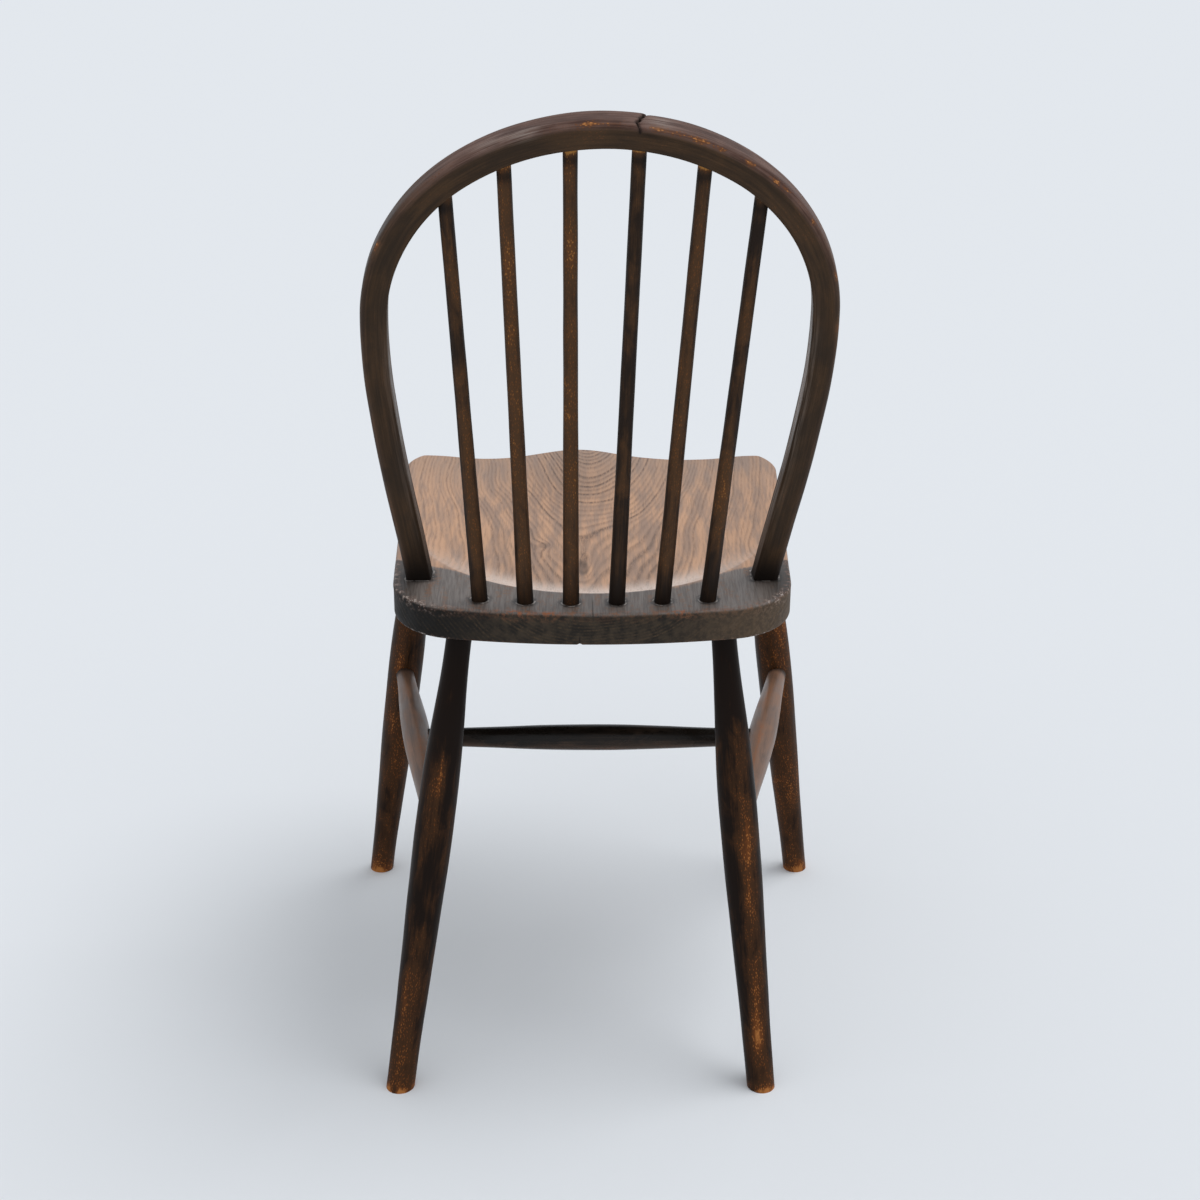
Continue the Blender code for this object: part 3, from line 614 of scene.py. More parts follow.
def buildBow(material):
    halfWidth, halfDepth = bow["width"] / 2, bow["depth"] / 2
    corners = [
        (halfWidth, -halfDepth, bow["outerRound"]),
        (halfWidth, halfDepth, bow["outerRound"]),
        (-halfWidth, halfDepth, bow["innerRound"]),
        (-halfWidth, -halfDepth, bow["innerRound"]),
    ]
    section = evenPoints(roundedOutline(corners, 0.00002), bow["sectionPoints"])
    rings = []
    for distance in bowStations():
        flat, normal = bowPoint(distance)
        outward = (Vector((normal.x + bow["rack"] * normal.y, 0.0, 0.0)) + bowUp * normal.y).normalized()
        middle = bowWorld(flat)
        crown = bell(distance, bow["crownReach"])
        deepen = 1.0 + bow["crownDeepen"] * crown
        sprung, sprungAt, reach = bow["sideSpring"]
        middle += outward * sprung * bell(abs(distance) - sprungAt, reach)
        ring = []
        for out, depth in section:
            place = Vector((out, depth, distance))
            swell = 1.0 + 0.018 * rough(place, 26.0, 3.0)
            shift = 0.0
            if out > 0.0:
                shift += crown * bow["crownRise"]
                gap = distance - breakCentre(depth)
                face = smoothStep(0.003, 0.009, out)
                shift -= breakAcross["deep"] * max(0.0, 1.0 - abs(gap) / breakAcross["halfWidth"]) * face
                shift -= 0.0008 * bell(gap, 0.0022) * face
                if gap < 0.0:
                    shift -= breakAcross["drop"] * math.exp(gap / 0.016) * face
            angle = math.degrees(math.atan2(depth, out))
            rub = marksAt(bowMarks, distance, angle)
            rub += 0.40 * bell(angle - 45.0, 12.0) * (0.6 + rough(place, 60.0, 8.0)) * (0.35 + 0.65 * crown)
            rub += 0.15 * bell(angle + 45.0, 13.0) + 0.22 * rough(place, 11.0, 5.0)
            scuffAndSheen = marksAt(bowScuffsAndSheen, distance, angle)
            world = middle + outward * (out * swell + shift) + bowBack * (depth * swell * deepen)
            aboveSeat = world.z - seat["top"]
            dirtAndShade = 0.9 * (1.0 - smoothStep(0.004, 0.040, aboveSeat))
            dirtAndShade += 0.95 * bell(distance - breakCentre(depth), 0.0016) * smoothStep(0.002, 0.007, out)
            # dirt follows the split on along the back, just under the arris
            dirtAndShade += 0.55 * bell(distance + 0.0330, 0.0090) * bell(out - 0.0035, 0.0022) * (depth > 0.006)
            ring.append((world, place, Vector((rub, scuffAndSheen, min(dirtAndShade, 1.0)))))
        rings.append(ring)
    shape = loft(rings, closeEnds=False)
    bmesh.ops.bisect_plane(
        shape,
        geom=shape.verts[:] + shape.edges[:] + shape.faces[:],
        dist=1e-7,
        plane_co=(0.0, 0.0, bow["end"]),
        plane_no=(0.0, 0.0, -1.0),
        clear_outer=True,
    )
    bmesh.ops.holes_fill(shape, edges=[e for e in shape.edges if e.is_boundary], sides=0)
    bmesh.ops.recalc_face_normals(shape, faces=shape.faces)
    return finishPiece("bow_worn", meshFrom(shape, "bow_worn"), material, ["bow"])


# ---- turned pieces ----

spindles = {
    "count": 6,
    "setback": 0.0251,
    "rowRadius": 0.78,
    "footPitch": 0.0395,
    "footOffset": -0.0012,
    "bowPitch": 0.0534,
    "foot": 0.0142,
    "top": 0.0116,
    "footTenon": 0.018,
    "topTenon": 0.0115,
    "tone": (-0.04, 0.14, 0.24, -0.26, 0.04, -0.18),
    "collar": (0.35, 0.70, 1.55, 1.60, 1.60, 0.30),  # rubbed ring just under the bow
    "sides": 28,
    "rings": 140,
}

legs = {
    "foot": {True: 0.0254, False: 0.0238},  # diameters: rear, front
    "swell": 0.0345,
    "top": 0.0224,
    "tenon": 0.020,
    "socket": {True: (0.115, 0.1011), False: (0.1645, -0.1351)},
    "footAt": {True: (0.1645, 0.2224, 0.010), False: (0.2207, -0.1571, 0.002)},  # x, y, rack
    "soleRound": 0.0042,
    "sides": 40,
    "rings": 90,
}

stretchers = {
    "height": 0.2427,
    "side": (0.0176, 0.0268),
    "cross": (0.0168, 0.0248),
    "rearOffset": 0.0036,
    "frontOffset": {1: 0.0014, -1: 0.0040},
    "sides": 36,
    "rings": 70,
}

legMarks = {
    # height, degrees round the leg (0 left, 90 back, 180 right), half height, half width, rub
    "leg_rear_left": (
        (0.285, 91.0, 0.034, 4.5, 0.60),
        (0.280, 84.0, 0.034, 44.0, 0.52),
        (0.225, 66.0, 0.030, 20.0, 0.40),
        (0.082, 70.0, 0.036, 17.0, 0.62),
        (0.060, 88.0, 0.072, 54.0, 0.62),
    ),
    "leg_rear_right": (
        (0.250, 106.0, 0.075, 23.0, 0.50),
        (0.165, 99.0, 0.080, 22.0, 0.50),
        (0.160, 112.0, 0.130, 50.0, 0.42),
        (0.058, 91.0, 0.022, 20.0, 0.72),
        (0.058, 95.0, 0.050, 60.0, 0.42),
    ),
    "leg_front_left": (
        (0.262, 62.0, 0.026, 20.0, 0.55),
        (0.200, 90.0, 0.170, 60.0, 0.38),
        (0.020, 90.0, 0.020, 90.0, 0.16),
    ),
    "leg_front_right": (
        (0.330, 110.0, 0.060, 50.0, 0.30),
        (0.210, 100.0, 0.150, 60.0, 0.46),
        (0.020, 90.0, 0.024, 90.0, 0.22),
    ),
}
# painted shade and light: the rear legs get a darker tone and the front legs a lighter one, as the front legs stand out
# into the light past the seat
legToneAndShade = {"leg_rear_left": -0.22, "leg_rear_right": -0.20, "leg_front_left": 0.02, "leg_front_right": 0.12}


def placing(start, end):
    # a matrix that puts local z along the piece, local x to the chair's left
    z = (end - start).normalized()
    x = (Vector((1.0, 0.0, 0.0)) - z * z.x).normalized() if abs(z.x) < 0.8 else (Vector((0.0, 0.0, 1.0)) - z * z.z).normalized()
    y = z.cross(x)
    matrix = Matrix((x, y, z)).transposed().to_4x4()
    matrix.translation = start
    return matrix


def turnPiece(profile, sides, wobble, seed):
    # the profile's (radius, height) points, spun round z and then made a little uneven by hand tools
    shape = bmesh.new()
    verts = [shape.verts.new((radius, 0.0, height)) for radius, height in profile]
    edges = [shape.edges.new(pair) for pair in zip(verts, verts[1:])]
    bmesh.ops.spin(
        shape,
        geom=verts + edges,
        cent=(0.0, 0.0, 0.0),
        axis=(0.0, 0.0, 1.0),
        dvec=(0.0, 0.0, 0.0),
        angle=math.tau,
        steps=sides,
        use_merge=True,
        use_duplicate=False,
    )
    bmesh.ops.remove_doubles(shape, verts=shape.verts, dist=1e-6)
    for vertex in shape.verts:
        across = Vector((vertex.co.x, vertex.co.y, 0.0))
        if across.length > 1e-5:
            place = Vector((across.x * 2.0, across.y * 2.0, vertex.co.z))
            vertex.co += across.normalized() * wobble * rough(place, 22.0, seed)
    bmesh.ops.recalc_face_normals(shape, faces=shape.faces)
    return shape


def stickPiece(name, shape, matrix, seed, wearAt, material):
    # writes the billet and wear attributes from each point's place on the piece, then sets it in place
    mesh = meshFrom(shape, name + "_turned")
    billet, wear = [], []
    for vertex in mesh.vertices:
        local = matrix.inverted() @ vertex.co
        billet += [local.x + seed, local.y, local.z + seed * 0.37]
        angle = math.degrees(math.atan2(local.y, local.x))
        wear += wearAt(local, angle, vertex.co)
    for label, values in (("billet", billet), ("wear", wear)):
        mesh.attributes.new(label, "FLOAT_VECTOR", "POINT").data.foreach_set("vector", values)
    return finishPiece(name + "_turned", mesh, material, [name])


def legEnds(rear, side):
    x, y, rack = legs["footAt"][rear]
    socketX, socketY = legs["socket"][rear]
    foot = Vector((side * x + rack, y, 0.0))
    socket = Vector((side * socketX, socketY, 0.418))
    return foot, socket + (socket - foot).normalized() * legs["tenon"]


def buildLeg(rear, side, seed, material):
    name = f"leg_{'rear' if rear else 'front'}_{'left' if side > 0 else 'right'}"
    foot, top = legEnds(rear, side)
    length = (top - foot).length
    along = (top - foot).normalized()
    swellAt = stretchers["height"] / along.z
    seatAt = length - legs["tenon"]
    topRadius, swellRadius, footRadius = legs["top"] / 2, legs["swell"] / 2, legs["foot"][rear] / 2
    low = -2 * footRadius
    profile = [(0.0, low), (footRadius, low)]
    for k in range(legs["rings"] + 1):
        height = low * 0.9 + (length - low * 0.9) * k / legs["rings"]
        if height < swellAt:
            share = max(height, 0.0) / swellAt
            radius = footRadius + (swellRadius - footRadius) * smoothStep(0.0, 1.0, share)
        else:
            t = min((seatAt - height) / (seatAt - swellAt), 1.0)
            t = max(t, 0.0)
            radius = topRadius + (swellRadius - topRadius) * t**3 * (t * (6 * t - 15) + 10)
        profile.append((radius, height))
    profile.append((0.0, length))
    shape = turnPiece(profile, legs["sides"], 0.00035, seed)
    matrix = placing(foot, top)
    bmesh.ops.transform(shape, matrix=matrix, verts=shape.verts)
    cutAt = bmesh.ops.bisect_plane(
        shape,
        geom=shape.verts[:] + shape.edges[:] + shape.faces[:],
        dist=1e-7,
        plane_co=(0.0, 0.0, 0.0),
        plane_no=(0.0, 0.0, -1.0),
        clear_outer=True,
    )
    rim = [g for g in cutAt["geom_cut"] if isinstance(g, bmesh.types.BMEdge)]
    bmesh.ops.holes_fill(shape, edges=rim, sides=0)
    bmesh.ops.bevel(
        shape,
        geom=rim,
        offset=legs["soleRound"],
        offset_type="OFFSET",
        affect="EDGES",
        segments=4,
        profile=0.5,
        material=-1,
        clamp_overlap=True,
    )
    bmesh.ops.recalc_face_normals(shape, faces=shape.faces)
    marks = legMarks[name]

    def wearAt(local, angle, world):
        rub = legToneAndShade[name] + marksAt(marks, world.z, angle)
        # the sole's rim is rubbed in broken patches
        broken = min(max(0.55 + 1.5 * rough(local, 150.0, seed + 3.0), 0.0), 1.2)
        rub += 0.95 * broken * (1.0 - smoothStep(0.0005, 0.0080, world.z))
        rub += 0.45 * (1.0 - smoothStep(0.004, 0.030, world.z))
        # painted shade: the rear legs are darkened from about 0.33 m up, under the seat's edge
        rub -= (0.30 if rear else 0.0) * smoothStep(0.312, 0.330, world.z)
        rub += 0.25 * rough(local, 18.0, seed)
        # painted shade: the top of every leg, just under the seat, is darkened
        dirtAndShade = 0.55 * smoothStep(0.370, 0.418, world.z)
        return [rub, 0.0, min(dirtAndShade, 1.0)]

    return stickPiece(name, shape, matrix, seed, wearAt, material)


def stretcherEnd(rear, side):
    foot, top = legEnds(rear, side)
    point = foot.lerp(top, stretchers["height"] / top.z)
    point.x += side * (stretchers["rearOffset"] if rear else stretchers["frontOffset"][side])
    return point


def buildStretcher(name, start, end, sizes, seed, tone, rubs, material):
    endRadius, swell = sizes[0] / 2, (sizes[1] - sizes[0]) / 2
    length = (end - start).length
    profile = [(0.0, 0.0)]
    for k in range(stretchers["rings"] + 1):
        share = k / stretchers["rings"]
        profile.append((endRadius + swell * math.sin(math.pi * share) ** 2, length * share))
    profile.append((0.0, length))
    shape = turnPiece(profile, stretchers["sides"], 0.0003, seed)
    matrix = placing(start, end)
    bmesh.ops.transform(shape, matrix=matrix, verts=shape.verts)

    def wearAt(local, angle, world):
        rub = tone + marksAt(rubs, local.z / length, angle) + 0.22 * rough(local, 16.0, seed)
        ends = min(local.z, length - local.z)
        dirtAndShade = 0.9 * (1.0 - smoothStep(0.017, 0.027, ends))
        return [rub, 0.0, dirtAndShade]

    return stickPiece(name, shape, matrix, seed, wearAt, material)


def spindleEnds(index):
    place = (spindles["count"] - 1) / 2 - index
    x = place * spindles["footPitch"] + spindles["footOffset"]
    sag = spindles["rowRadius"] - math.sqrt(spindles["rowRadius"] ** 2 - x**2)
    atSeat = Vector((x, seat["rear"] - spindles["setback"] - sag, seat["top"]))
    flat, normal = bowPoint(place * spindles["bowPitch"])
    inBow = bowWorld(flat + normal * (spindles["topTenon"] - bow["width"] / 2))
    along = (inBow - atSeat).normalized()
    return atSeat - along * spindles["footTenon"], inBow, atSeat


def buildSpindle(index, material):
    foot, top, atSeat = spindleEnds(index)
    length = (top - foot).length
    footRadius, topRadius = spindles["foot"] / 2, spindles["top"] / 2
    shown = length - spindles["footTenon"] - spindles["topTenon"]
    profile = [(0.0, 0.0), (footRadius, 0.0)]
    for k in range(spindles["rings"] + 1):
        share = k / spindles["rings"]
        radius = topRadius + (footRadius - topRadius) * (1.0 - share) ** 2
        profile.append((radius, spindles["footTenon"] + shown * share))
    profile += [(topRadius, length), (0.0, length)]
    seed = 4.0 + index * 1.31
    shape = turnPiece(profile, spindles["sides"], 0.00022, seed)
    matrix = placing(foot, top)
    bmesh.ops.transform(shape, matrix=matrix, verts=shape.verts)

    def wearAt(local, angle, world):
        up = (local.z - spindles["footTenon"]) / shown
        turn = (angle - 90.0 + 180.0) % 360.0 - 180.0
        fromTop = shown * (1.0 - up)
        rub = spindles["tone"][index] + 0.30 * bell(turn, 42.0) * smoothStep(0.02, 0.18, up)
        rub += 0.34 * rough(Vector((local.x, local.y, local.z)), 17.0, seed)
        rub += spindles["collar"][index] * bell(fromTop - 0.0012, 0.0036)
        dirtAndShade = 0.60 * (1.0 - smoothStep(0.0, 0.045, shown * up)) + 0.75 * bell(fromTop - 0.0105, 0.0050)
        dirtAndShade += 0.45 * smoothStep(38.0, 75.0, abs(turn)) * (1.0 - bell(fromTop, 0.005))
        return [rub, 0.0, min(dirtAndShade, 1.0)]

    return stickPiece(f"spindle_{index + 1}", shape, matrix, seed, wearAt, material)


# ---- building the seat ----


def jointDistance(x, y):
    # distance from the nearest spindle or bow foot where it enters the seat
    nearest = 1.0
    for index in range(spindles["count"]):
        at = spindleEnds(index)[2]
        nearest = min(nearest, math.hypot(x - at.x, (y - at.y) / 1.06) - spindles["foot"] / 2)
    for side in (1, -1):
        flat = bowPoint(side * bowLength)[0]
        above = bowPoint(side * bowArcLength)[0]
        at = bowWorld(flat.lerp(above, (0.0 - flat.y) / (above.y - flat.y)))
        dx = abs(x - at.x) - bow["width"] / 2
        dy = abs(y - at.y) - bow["depth"] / 2 / math.cos(bow["lean"])
        nearest = min(nearest, math.hypot(max(dx, 0.0), max(dy, 0.0)) + min(max(dx, dy), 0.0))
    return nearest


def buildSeat(material):
    outline = seatOutline()
    normals = outwardNormals(outline)
    centre = Vector((0.0, seat["saddleCentre"]))
    checkX, checkLength, checkDeep = seat["check"]
    notchX, notchSize = seat["notch"]
    scales = [0.0, 0.02, 0.05, 0.09] + [0.09 + 0.61 * k / 30 for k in range(1, 31)] + [0.70 + 0.30 * k / 30 for k in range(1, 31)]
    rings = []

    def ringOf(pointAt):
        # each point carries its zone (inside the saddle, away from a joint) and its wear
        ring = []
        for i, (edge, normal) in enumerate(zip(outline, normals)):
            flat, z, wear = pointAt(i, edge, normal)
            inside = saddleInside(flat.x, flat.y)[0]
            away = jointDistance(flat.x, flat.y) if z > seat["top"] - 0.006 else 0.03
            ring.append((Vector((flat.x, flat.y, z)), Vector((inside, away, 0.0)), Vector(wear)))
        rings.append(ring)

    def arrisWear(edge, share):
        # orange rubs and pale chips along the rear arris, as strong as share
        if edge.y < 0.02:
            return 0.2 * share, 0.0
        orange = 0.25 + sum(bell(edge.x - x, width) for x, width in seat["rubs"])
        chips = sum(bell(edge.x - x, width) for x, width in seat["chips"])
        return min(orange, 1.0) * share, min(chips, 1.0) * share

    arris = [seat["arris"] * (1.0 + 0.45 * rough(Vector((p.x, p.y, 0.0)), 30.0, 5.0)) for p in outline]

    def topZ(flat):
        z = seat["top"] - saddleDrop(flat.x, flat.y)
        if abs(flat.x - checkX) < 0.0004 and flat.y > seat["rear"] - checkLength:
            z -= checkDeep * smoothStep(0.0, 0.008, flat.y - seat["rear"] + checkLength)
        return z + 0.00025 * rough(Vector((flat.x, flat.y, 0.0)), 24.0, 2.0)

    for scale in scales:

        def onTop(i, edge, normal):
            flat = centre + (edge - normal * arris[i] - centre) * scale
            orange, chips = arrisWear(edge, smoothStep(0.975, 1.0, scale))
            return flat, topZ(flat), (0.0, orange, chips)

        ringOf(onTop)
    for k in range(1, 6):
        angle = math.radians(90.0 * k / 5)

        def onArris(i, edge, normal):
            flat = edge - normal * arris[i] * (1.0 - math.sin(angle))
            z = topZ(edge - normal * arris[i]) - arris[i] * (1.0 - math.cos(angle))
            orange, chips = arrisWear(edge, 1.0 - 0.6 * smoothStep(2.0, 5.0, k))
            return flat, z, (smoothStep(2.0, 4.5, k), orange, chips)

        ringOf(onArris)
    sideSteps = 7
    for k in range(1, sideSteps + 1):

        def onSide(i, edge, normal):
            high = topZ(edge - normal * arris[i]) - arris[i]
            low = seat["under"] + 0.0025
            z = high + (low - high) * k / sideSteps
            bulge = 0.00035 * rough(Vector((edge.x, edge.y, z)), 28.0, 7.0)
            chip = notchSize * max(0.0, 1.0 - abs(edge.x - notchX) / notchSize) if edge.y > 0 else 0.0
            chip *= smoothStep(sideSteps - 2.0, sideSteps, k)
            orange, chips = arrisWear(edge, 0.4 * (1.0 - smoothStep(0.0, 2.0, k)))
            return edge + normal * (bulge - 0.0003 - chip), z, (1.0, orange, chips)

        ringOf(onSide)
    for k in range(1, 4):
        angle = math.radians(90.0 * k / 3)

        def onLowArris(i, edge, normal):
            chip = notchSize * max(0.0, 1.0 - abs(edge.x - notchX) / notchSize) if edge.y > 0 else 0.0
            flat = edge - normal * (0.0003 + chip + 0.0025 * (1.0 - math.cos(angle)))
            rim = 0.8 * smoothStep(0.11, 0.15, abs(edge.x)) if edge.y > 0.02 else 0.0
            return flat, seat["under"] + 0.0025 * (1.0 - math.sin(angle)), (1.0, 0.15, rim)

        ringOf(onLowArris)
    for scale in (0.96, 0.88, 0.75, 0.6, 0.45, 0.3, 0.15, 0.05, 0.0):

        def onUnder(i, edge, normal):
            return centre + (edge - normal * 0.003 - centre) * scale, seat["under"], (1.0, 0.0, 0.0)

        ringOf(onUnder)
    shape = loft(rings, closeEnds=True)
    return finishPiece("seat_worn", meshFrom(shape, "seat_worn"), material, ["seat"])


elm = {
    "ringWidth": 0.0034,
    "pithRise": 0.29,  # how fast the pith climbs towards the rear, in front of the saddle's middle
    "pithStart": 0.088,
    "pithRiseBehind": 0.10,
    "pithBehind": 0.0787,
    "warp": 0.020,
    "sway": 0.024,
    "quietFrom": 0.0,  # the ring lines are quieter away from this x
    # x, y, half width, half length, how far each pushes the rings, and how dark it is
    "knots": ((0.0082, 0.040, 0.0050, 0.019, -0.010, 0.72), (0.0445, -0.012, 0.0050, 0.007, 0.006, 0.40)),
    "bareDull": (0.330, 0.208, 0.146),
    "bareWarm": (0.560, 0.325, 0.198),
    "bareFront": (0.300, 0.208, 0.158),
    "bareLine": (0.105, 0.066, 0.047),
    "ridgeSheen": (0.730, 0.600, 0.525),
    "landDarkWithSheen": (0.118, 0.098, 0.087),
    "landPaleWithSheen": (0.182, 0.157, 0.143),
    "landWarm": (0.195, 0.108, 0.066),
    "landCorner": (0.026, 0.021, 0.018),
    "edgeBlack": (0.0044, 0.0034, 0.0026),
    "edgeDark": (0.0125, 0.0095, 0.0068),
    "edgeBrown": (0.044, 0.032, 0.021),
    "edgeFaded": (0.105, 0.070, 0.044),
    "edgeLine": (0.078, 0.050, 0.028),
    "rubbed": (0.300, 0.110, 0.050),
    "chalky": (0.400, 0.360, 0.330),
    "dirt": (0.0150, 0.0120, 0.0100),
    "dirtReach": 0.0055,
    "roughness": 0.36,
    "shine": 0.20,
}


def seatMaterial():
    made = bpy.data.materials.new("wornElm")
    made.use_nodes = True
    tree = made.node_tree
    shader = tree.nodes["Principled BSDF"]
    place = shaderNode(tree, "TexCoord").outputs["Object"]
    x, y, z = apart(tree, place)
    inside, away = apart(tree, shaderNode(tree, "Attribute", attribute_name="billet").outputs["Vector"])[:2]
    side, rubbed, pale = apart(tree, shaderNode(tree, "Attribute", attribute_name="wear").outputs["Vector"])
    look = elm

    # growth rings round a pith that lies above the plank and rises towards the rear
    warp = cloud(tree, stretched(tree, place, (13.0, 9.0, 13.0)), 1.0, 1.5, 0.4)
    sway = cloud(tree, stretched(tree, place, (11.0, 8.0, 11.0), (3.7, 1.9, 0.6)), 1.0, 1.0, 0.4)
    pith = shaderNode(tree, "Math", operation="SMOOTH_MIN")
    steep = mathNode(tree, "ADD", scaled(tree, y, look["pithRise"]), look["pithStart"])
    feed(tree, pith.inputs[0], steep)
    feed(tree, pith.inputs[1], mathNode(tree, "ADD", scaled(tree, y, look["pithRiseBehind"]), look["pithBehind"]))
    pith.inputs[2].default_value = 0.02
    depth = mathNode(tree, "SUBTRACT", mathNode(tree, "ADD", pith.outputs[0], seat["top"]), z)
    depth = mathNode(tree, "ADD", depth, scaled(tree, mathNode(tree, "SUBTRACT", warp, 0.5), look["warp"]))
    across = mathNode(tree, "ADD", x, scaled(tree, mathNode(tree, "SUBTRACT", sway, 0.5), look["sway"]))
    knots = 0.0
    for knotX, knotY, halfX, halfY, push, dark in look["knots"]:
        dx = mathNode(tree, "DIVIDE", mathNode(tree, "SUBTRACT", x, knotX), halfX)
        dy = mathNode(tree, "DIVIDE", mathNode(tree, "SUBTRACT", y, knotY), halfY)
        far = mathNode(tree, "ADD", mathNode(tree, "MULTIPLY", dx, dx), mathNode(tree, "MULTIPLY", dy, dy))
        near = mathNode(tree, "EXPONENT", scaled(tree, far, -0.22))
        depth = mathNode(tree, "ADD", depth, scaled(tree, near, push))
        knots = mathNode(tree, "MAXIMUM", ramp(tree, far, 0.4, 1.5, dark, 0.0), knots)
    squares = mathNode(tree, "ADD", mathNode(tree, "MULTIPLY", across, across), mathNode(tree, "MULTIPLY", depth, depth))
    ringCount = mathNode(tree, "DIVIDE", mathNode(tree, "SQRT", squares), look["ringWidth"])
    phase = mathNode(tree, "FRACT", ringCount)
    eachRing = shaderNode(tree, "TexWhiteNoise", noise_dimensions="1D")
    feed(tree, eachRing.inputs["W"], mathNode(tree, "FLOOR", ringCount))
    strength = ramp(tree, eachRing.outputs["Value"], 0.0, 1.0, 0.25, 1.0)
    years = shaderNode(tree, "TexNoise", noise_dimensions="1D")
    feed(tree, years.inputs["W"], scaled(tree, ringCount, 0.4))
    years.inputs["Scale"].default_value = 1.0
    years.inputs["Detail"].default_value = 1.0
    early = mathNode(tree, "MULTIPLY", ramp(tree, phase, 0.0, 0.26), ramp(tree, phase, 0.34, 0.82, 1.0, 0.0))
    pores = cloud(tree, stretched(tree, place, (620.0, 90.0, 620.0)), 1.0, 4.0, 0.68)
    lines = mathNode(tree, "MULTIPLY", early, strength)
    lines = mathNode(tree, "MULTIPLY", lines, ramp(tree, pores, 0.32, 0.62, 0.20, 1.0))
    sideways = mathNode(tree, "ABSOLUTE", mathNode(tree, "ADD", x, look["quietFrom"]))
    figure = cloud(tree, stretched(tree, place, (105.0, 14.0, 105.0)), 1.0, 4.0, 0.6, 0.3)
    hatch = cloud(tree, stretched(tree, place, (820.0, 36.0, 820.0)), 1.0, 3.0, 0.6)
    scuffs = cloud(tree, stretched(tree, place, (260.0, 260.0, 260.0)), 1.0, 4.0, 0.7)

    # bare elm in the saddle
    warmth = mathNode(tree, "ADD", scaled(tree, figure, 0.78), scaled(tree, years.outputs[0], 0.22))
    warmth = mathNode(tree, "ADD", warmth, ramp(tree, x, 0.090, 0.150, 0.0, 0.05))
    bare = blendColour(tree, ramp(tree, warmth, 0.37, 0.64), look["bareDull"], look["bareWarm"])
    bare = blendColour(tree, ramp(tree, y, -0.215, -0.09, 0.50, 0.0), bare, look["bareFront"])
    quiet = ramp(tree, sideways, 0.045, 0.100, 0.84, 0.46)
    bare = blendColour(tree, mathNode(tree, "MULTIPLY", lines, quiet), bare, look["bareLine"])
    bare = blendColour(tree, ramp(tree, hatch, 0.54, 0.72, 0.0, 0.35), bare, look["bareLine"])
    bare = blendColour(tree, knots, bare, look["bareLine"])
    # painted sheen: a pale band just inside the saddle's rear ridge, where the forward-facing slope catches a grazing
    # reflection
    sheenBand = mathNode(tree, "MULTIPLY", ramp(tree, inside, 0.001, 0.006), ramp(tree, inside, 0.015, 0.054, 1.0, 0.0))
    sheenBand = mathNode(tree, "MULTIPLY", sheenBand, ramp(tree, y, 0.0, 0.075))
    sheenBand = mathNode(tree, "MULTIPLY", sheenBand, ramp(tree, sideways, 0.070, 0.125, 1.0, 0.40))
    sheenBand = mathNode(tree, "MULTIPLY", sheenBand, ramp(tree, hatch, 0.30, 0.55, 0.55, 0.95))
    bare = blendColour(tree, sheenBand, bare, look["ridgeSheen"])

    # dark stain left on the rear land, its colours lightened and greyed with a painted sheen
    land = blendColour(tree, ramp(tree, hatch, 0.36, 0.62), look["landDarkWithSheen"], look["landPaleWithSheen"])
    warm = ramp(tree, mathNode(tree, "MULTIPLY", figure, scuffs), 0.26, 0.36)
    land = blendColour(tree, scaled(tree, warm, 0.75), land, look["landWarm"])
    land = blendColour(tree, scaled(tree, lines, 0.35), land, look["landDarkWithSheen"])
    corner = ramp(tree, mathNode(tree, "ABSOLUTE", x), 0.146, 0.168, 0.0, 0.85)
    land = blendColour(tree, corner, land, look["landCorner"])
    fray = scaled(tree, mathNode(tree, "SUBTRACT", hatch, 0.5), 0.008)
    # the bare wood reaches a little further back right of the middle
    further = mathNode(tree, "MULTIPLY", ramp(tree, x, -0.125, -0.085), ramp(tree, x, -0.075, -0.030, 1.0, 0.0))
    fray = mathNode(tree, "ADD", fray, scaled(tree, further, 0.0055))
    frontward = ramp(tree, y, 0.025, 0.085, 0.05, 0.0)
    opened = ramp(tree, mathNode(tree, "ADD", mathNode(tree, "ADD", inside, fray), frontward), -0.001, 0.007)
    colour = blendColour(tree, opened, land, bare)

    # the sawn edge: darker towards the chair's left, faded towards its right
    brim = blendColour(tree, ramp(tree, figure, 0.35, 0.65), look["edgeDark"], look["edgeBrown"])
    brim = blendColour(tree, ramp(tree, x, 0.06, 0.14), brim, look["edgeBlack"])
    faded = mathNode(tree, "MULTIPLY", ramp(tree, x, -0.145, -0.055, 1.0, 0.0), ramp(tree, scuffs, 0.40, 0.62, 0.5, 1.0))
    brim = blendColour(tree, faded, brim, look["edgeFaded"])
    shown = mathNode(tree, "MULTIPLY", lines, ramp(tree, scuffs, 0.35, 0.60))
    shown = mathNode(tree, "MULTIPLY", shown, ramp(tree, x, 0.06, 0.14, 1.0, 0.35))
    brim = blendColour(tree, shown, brim, look["edgeLine"])
    colour = blendColour(tree, side, colour, brim)

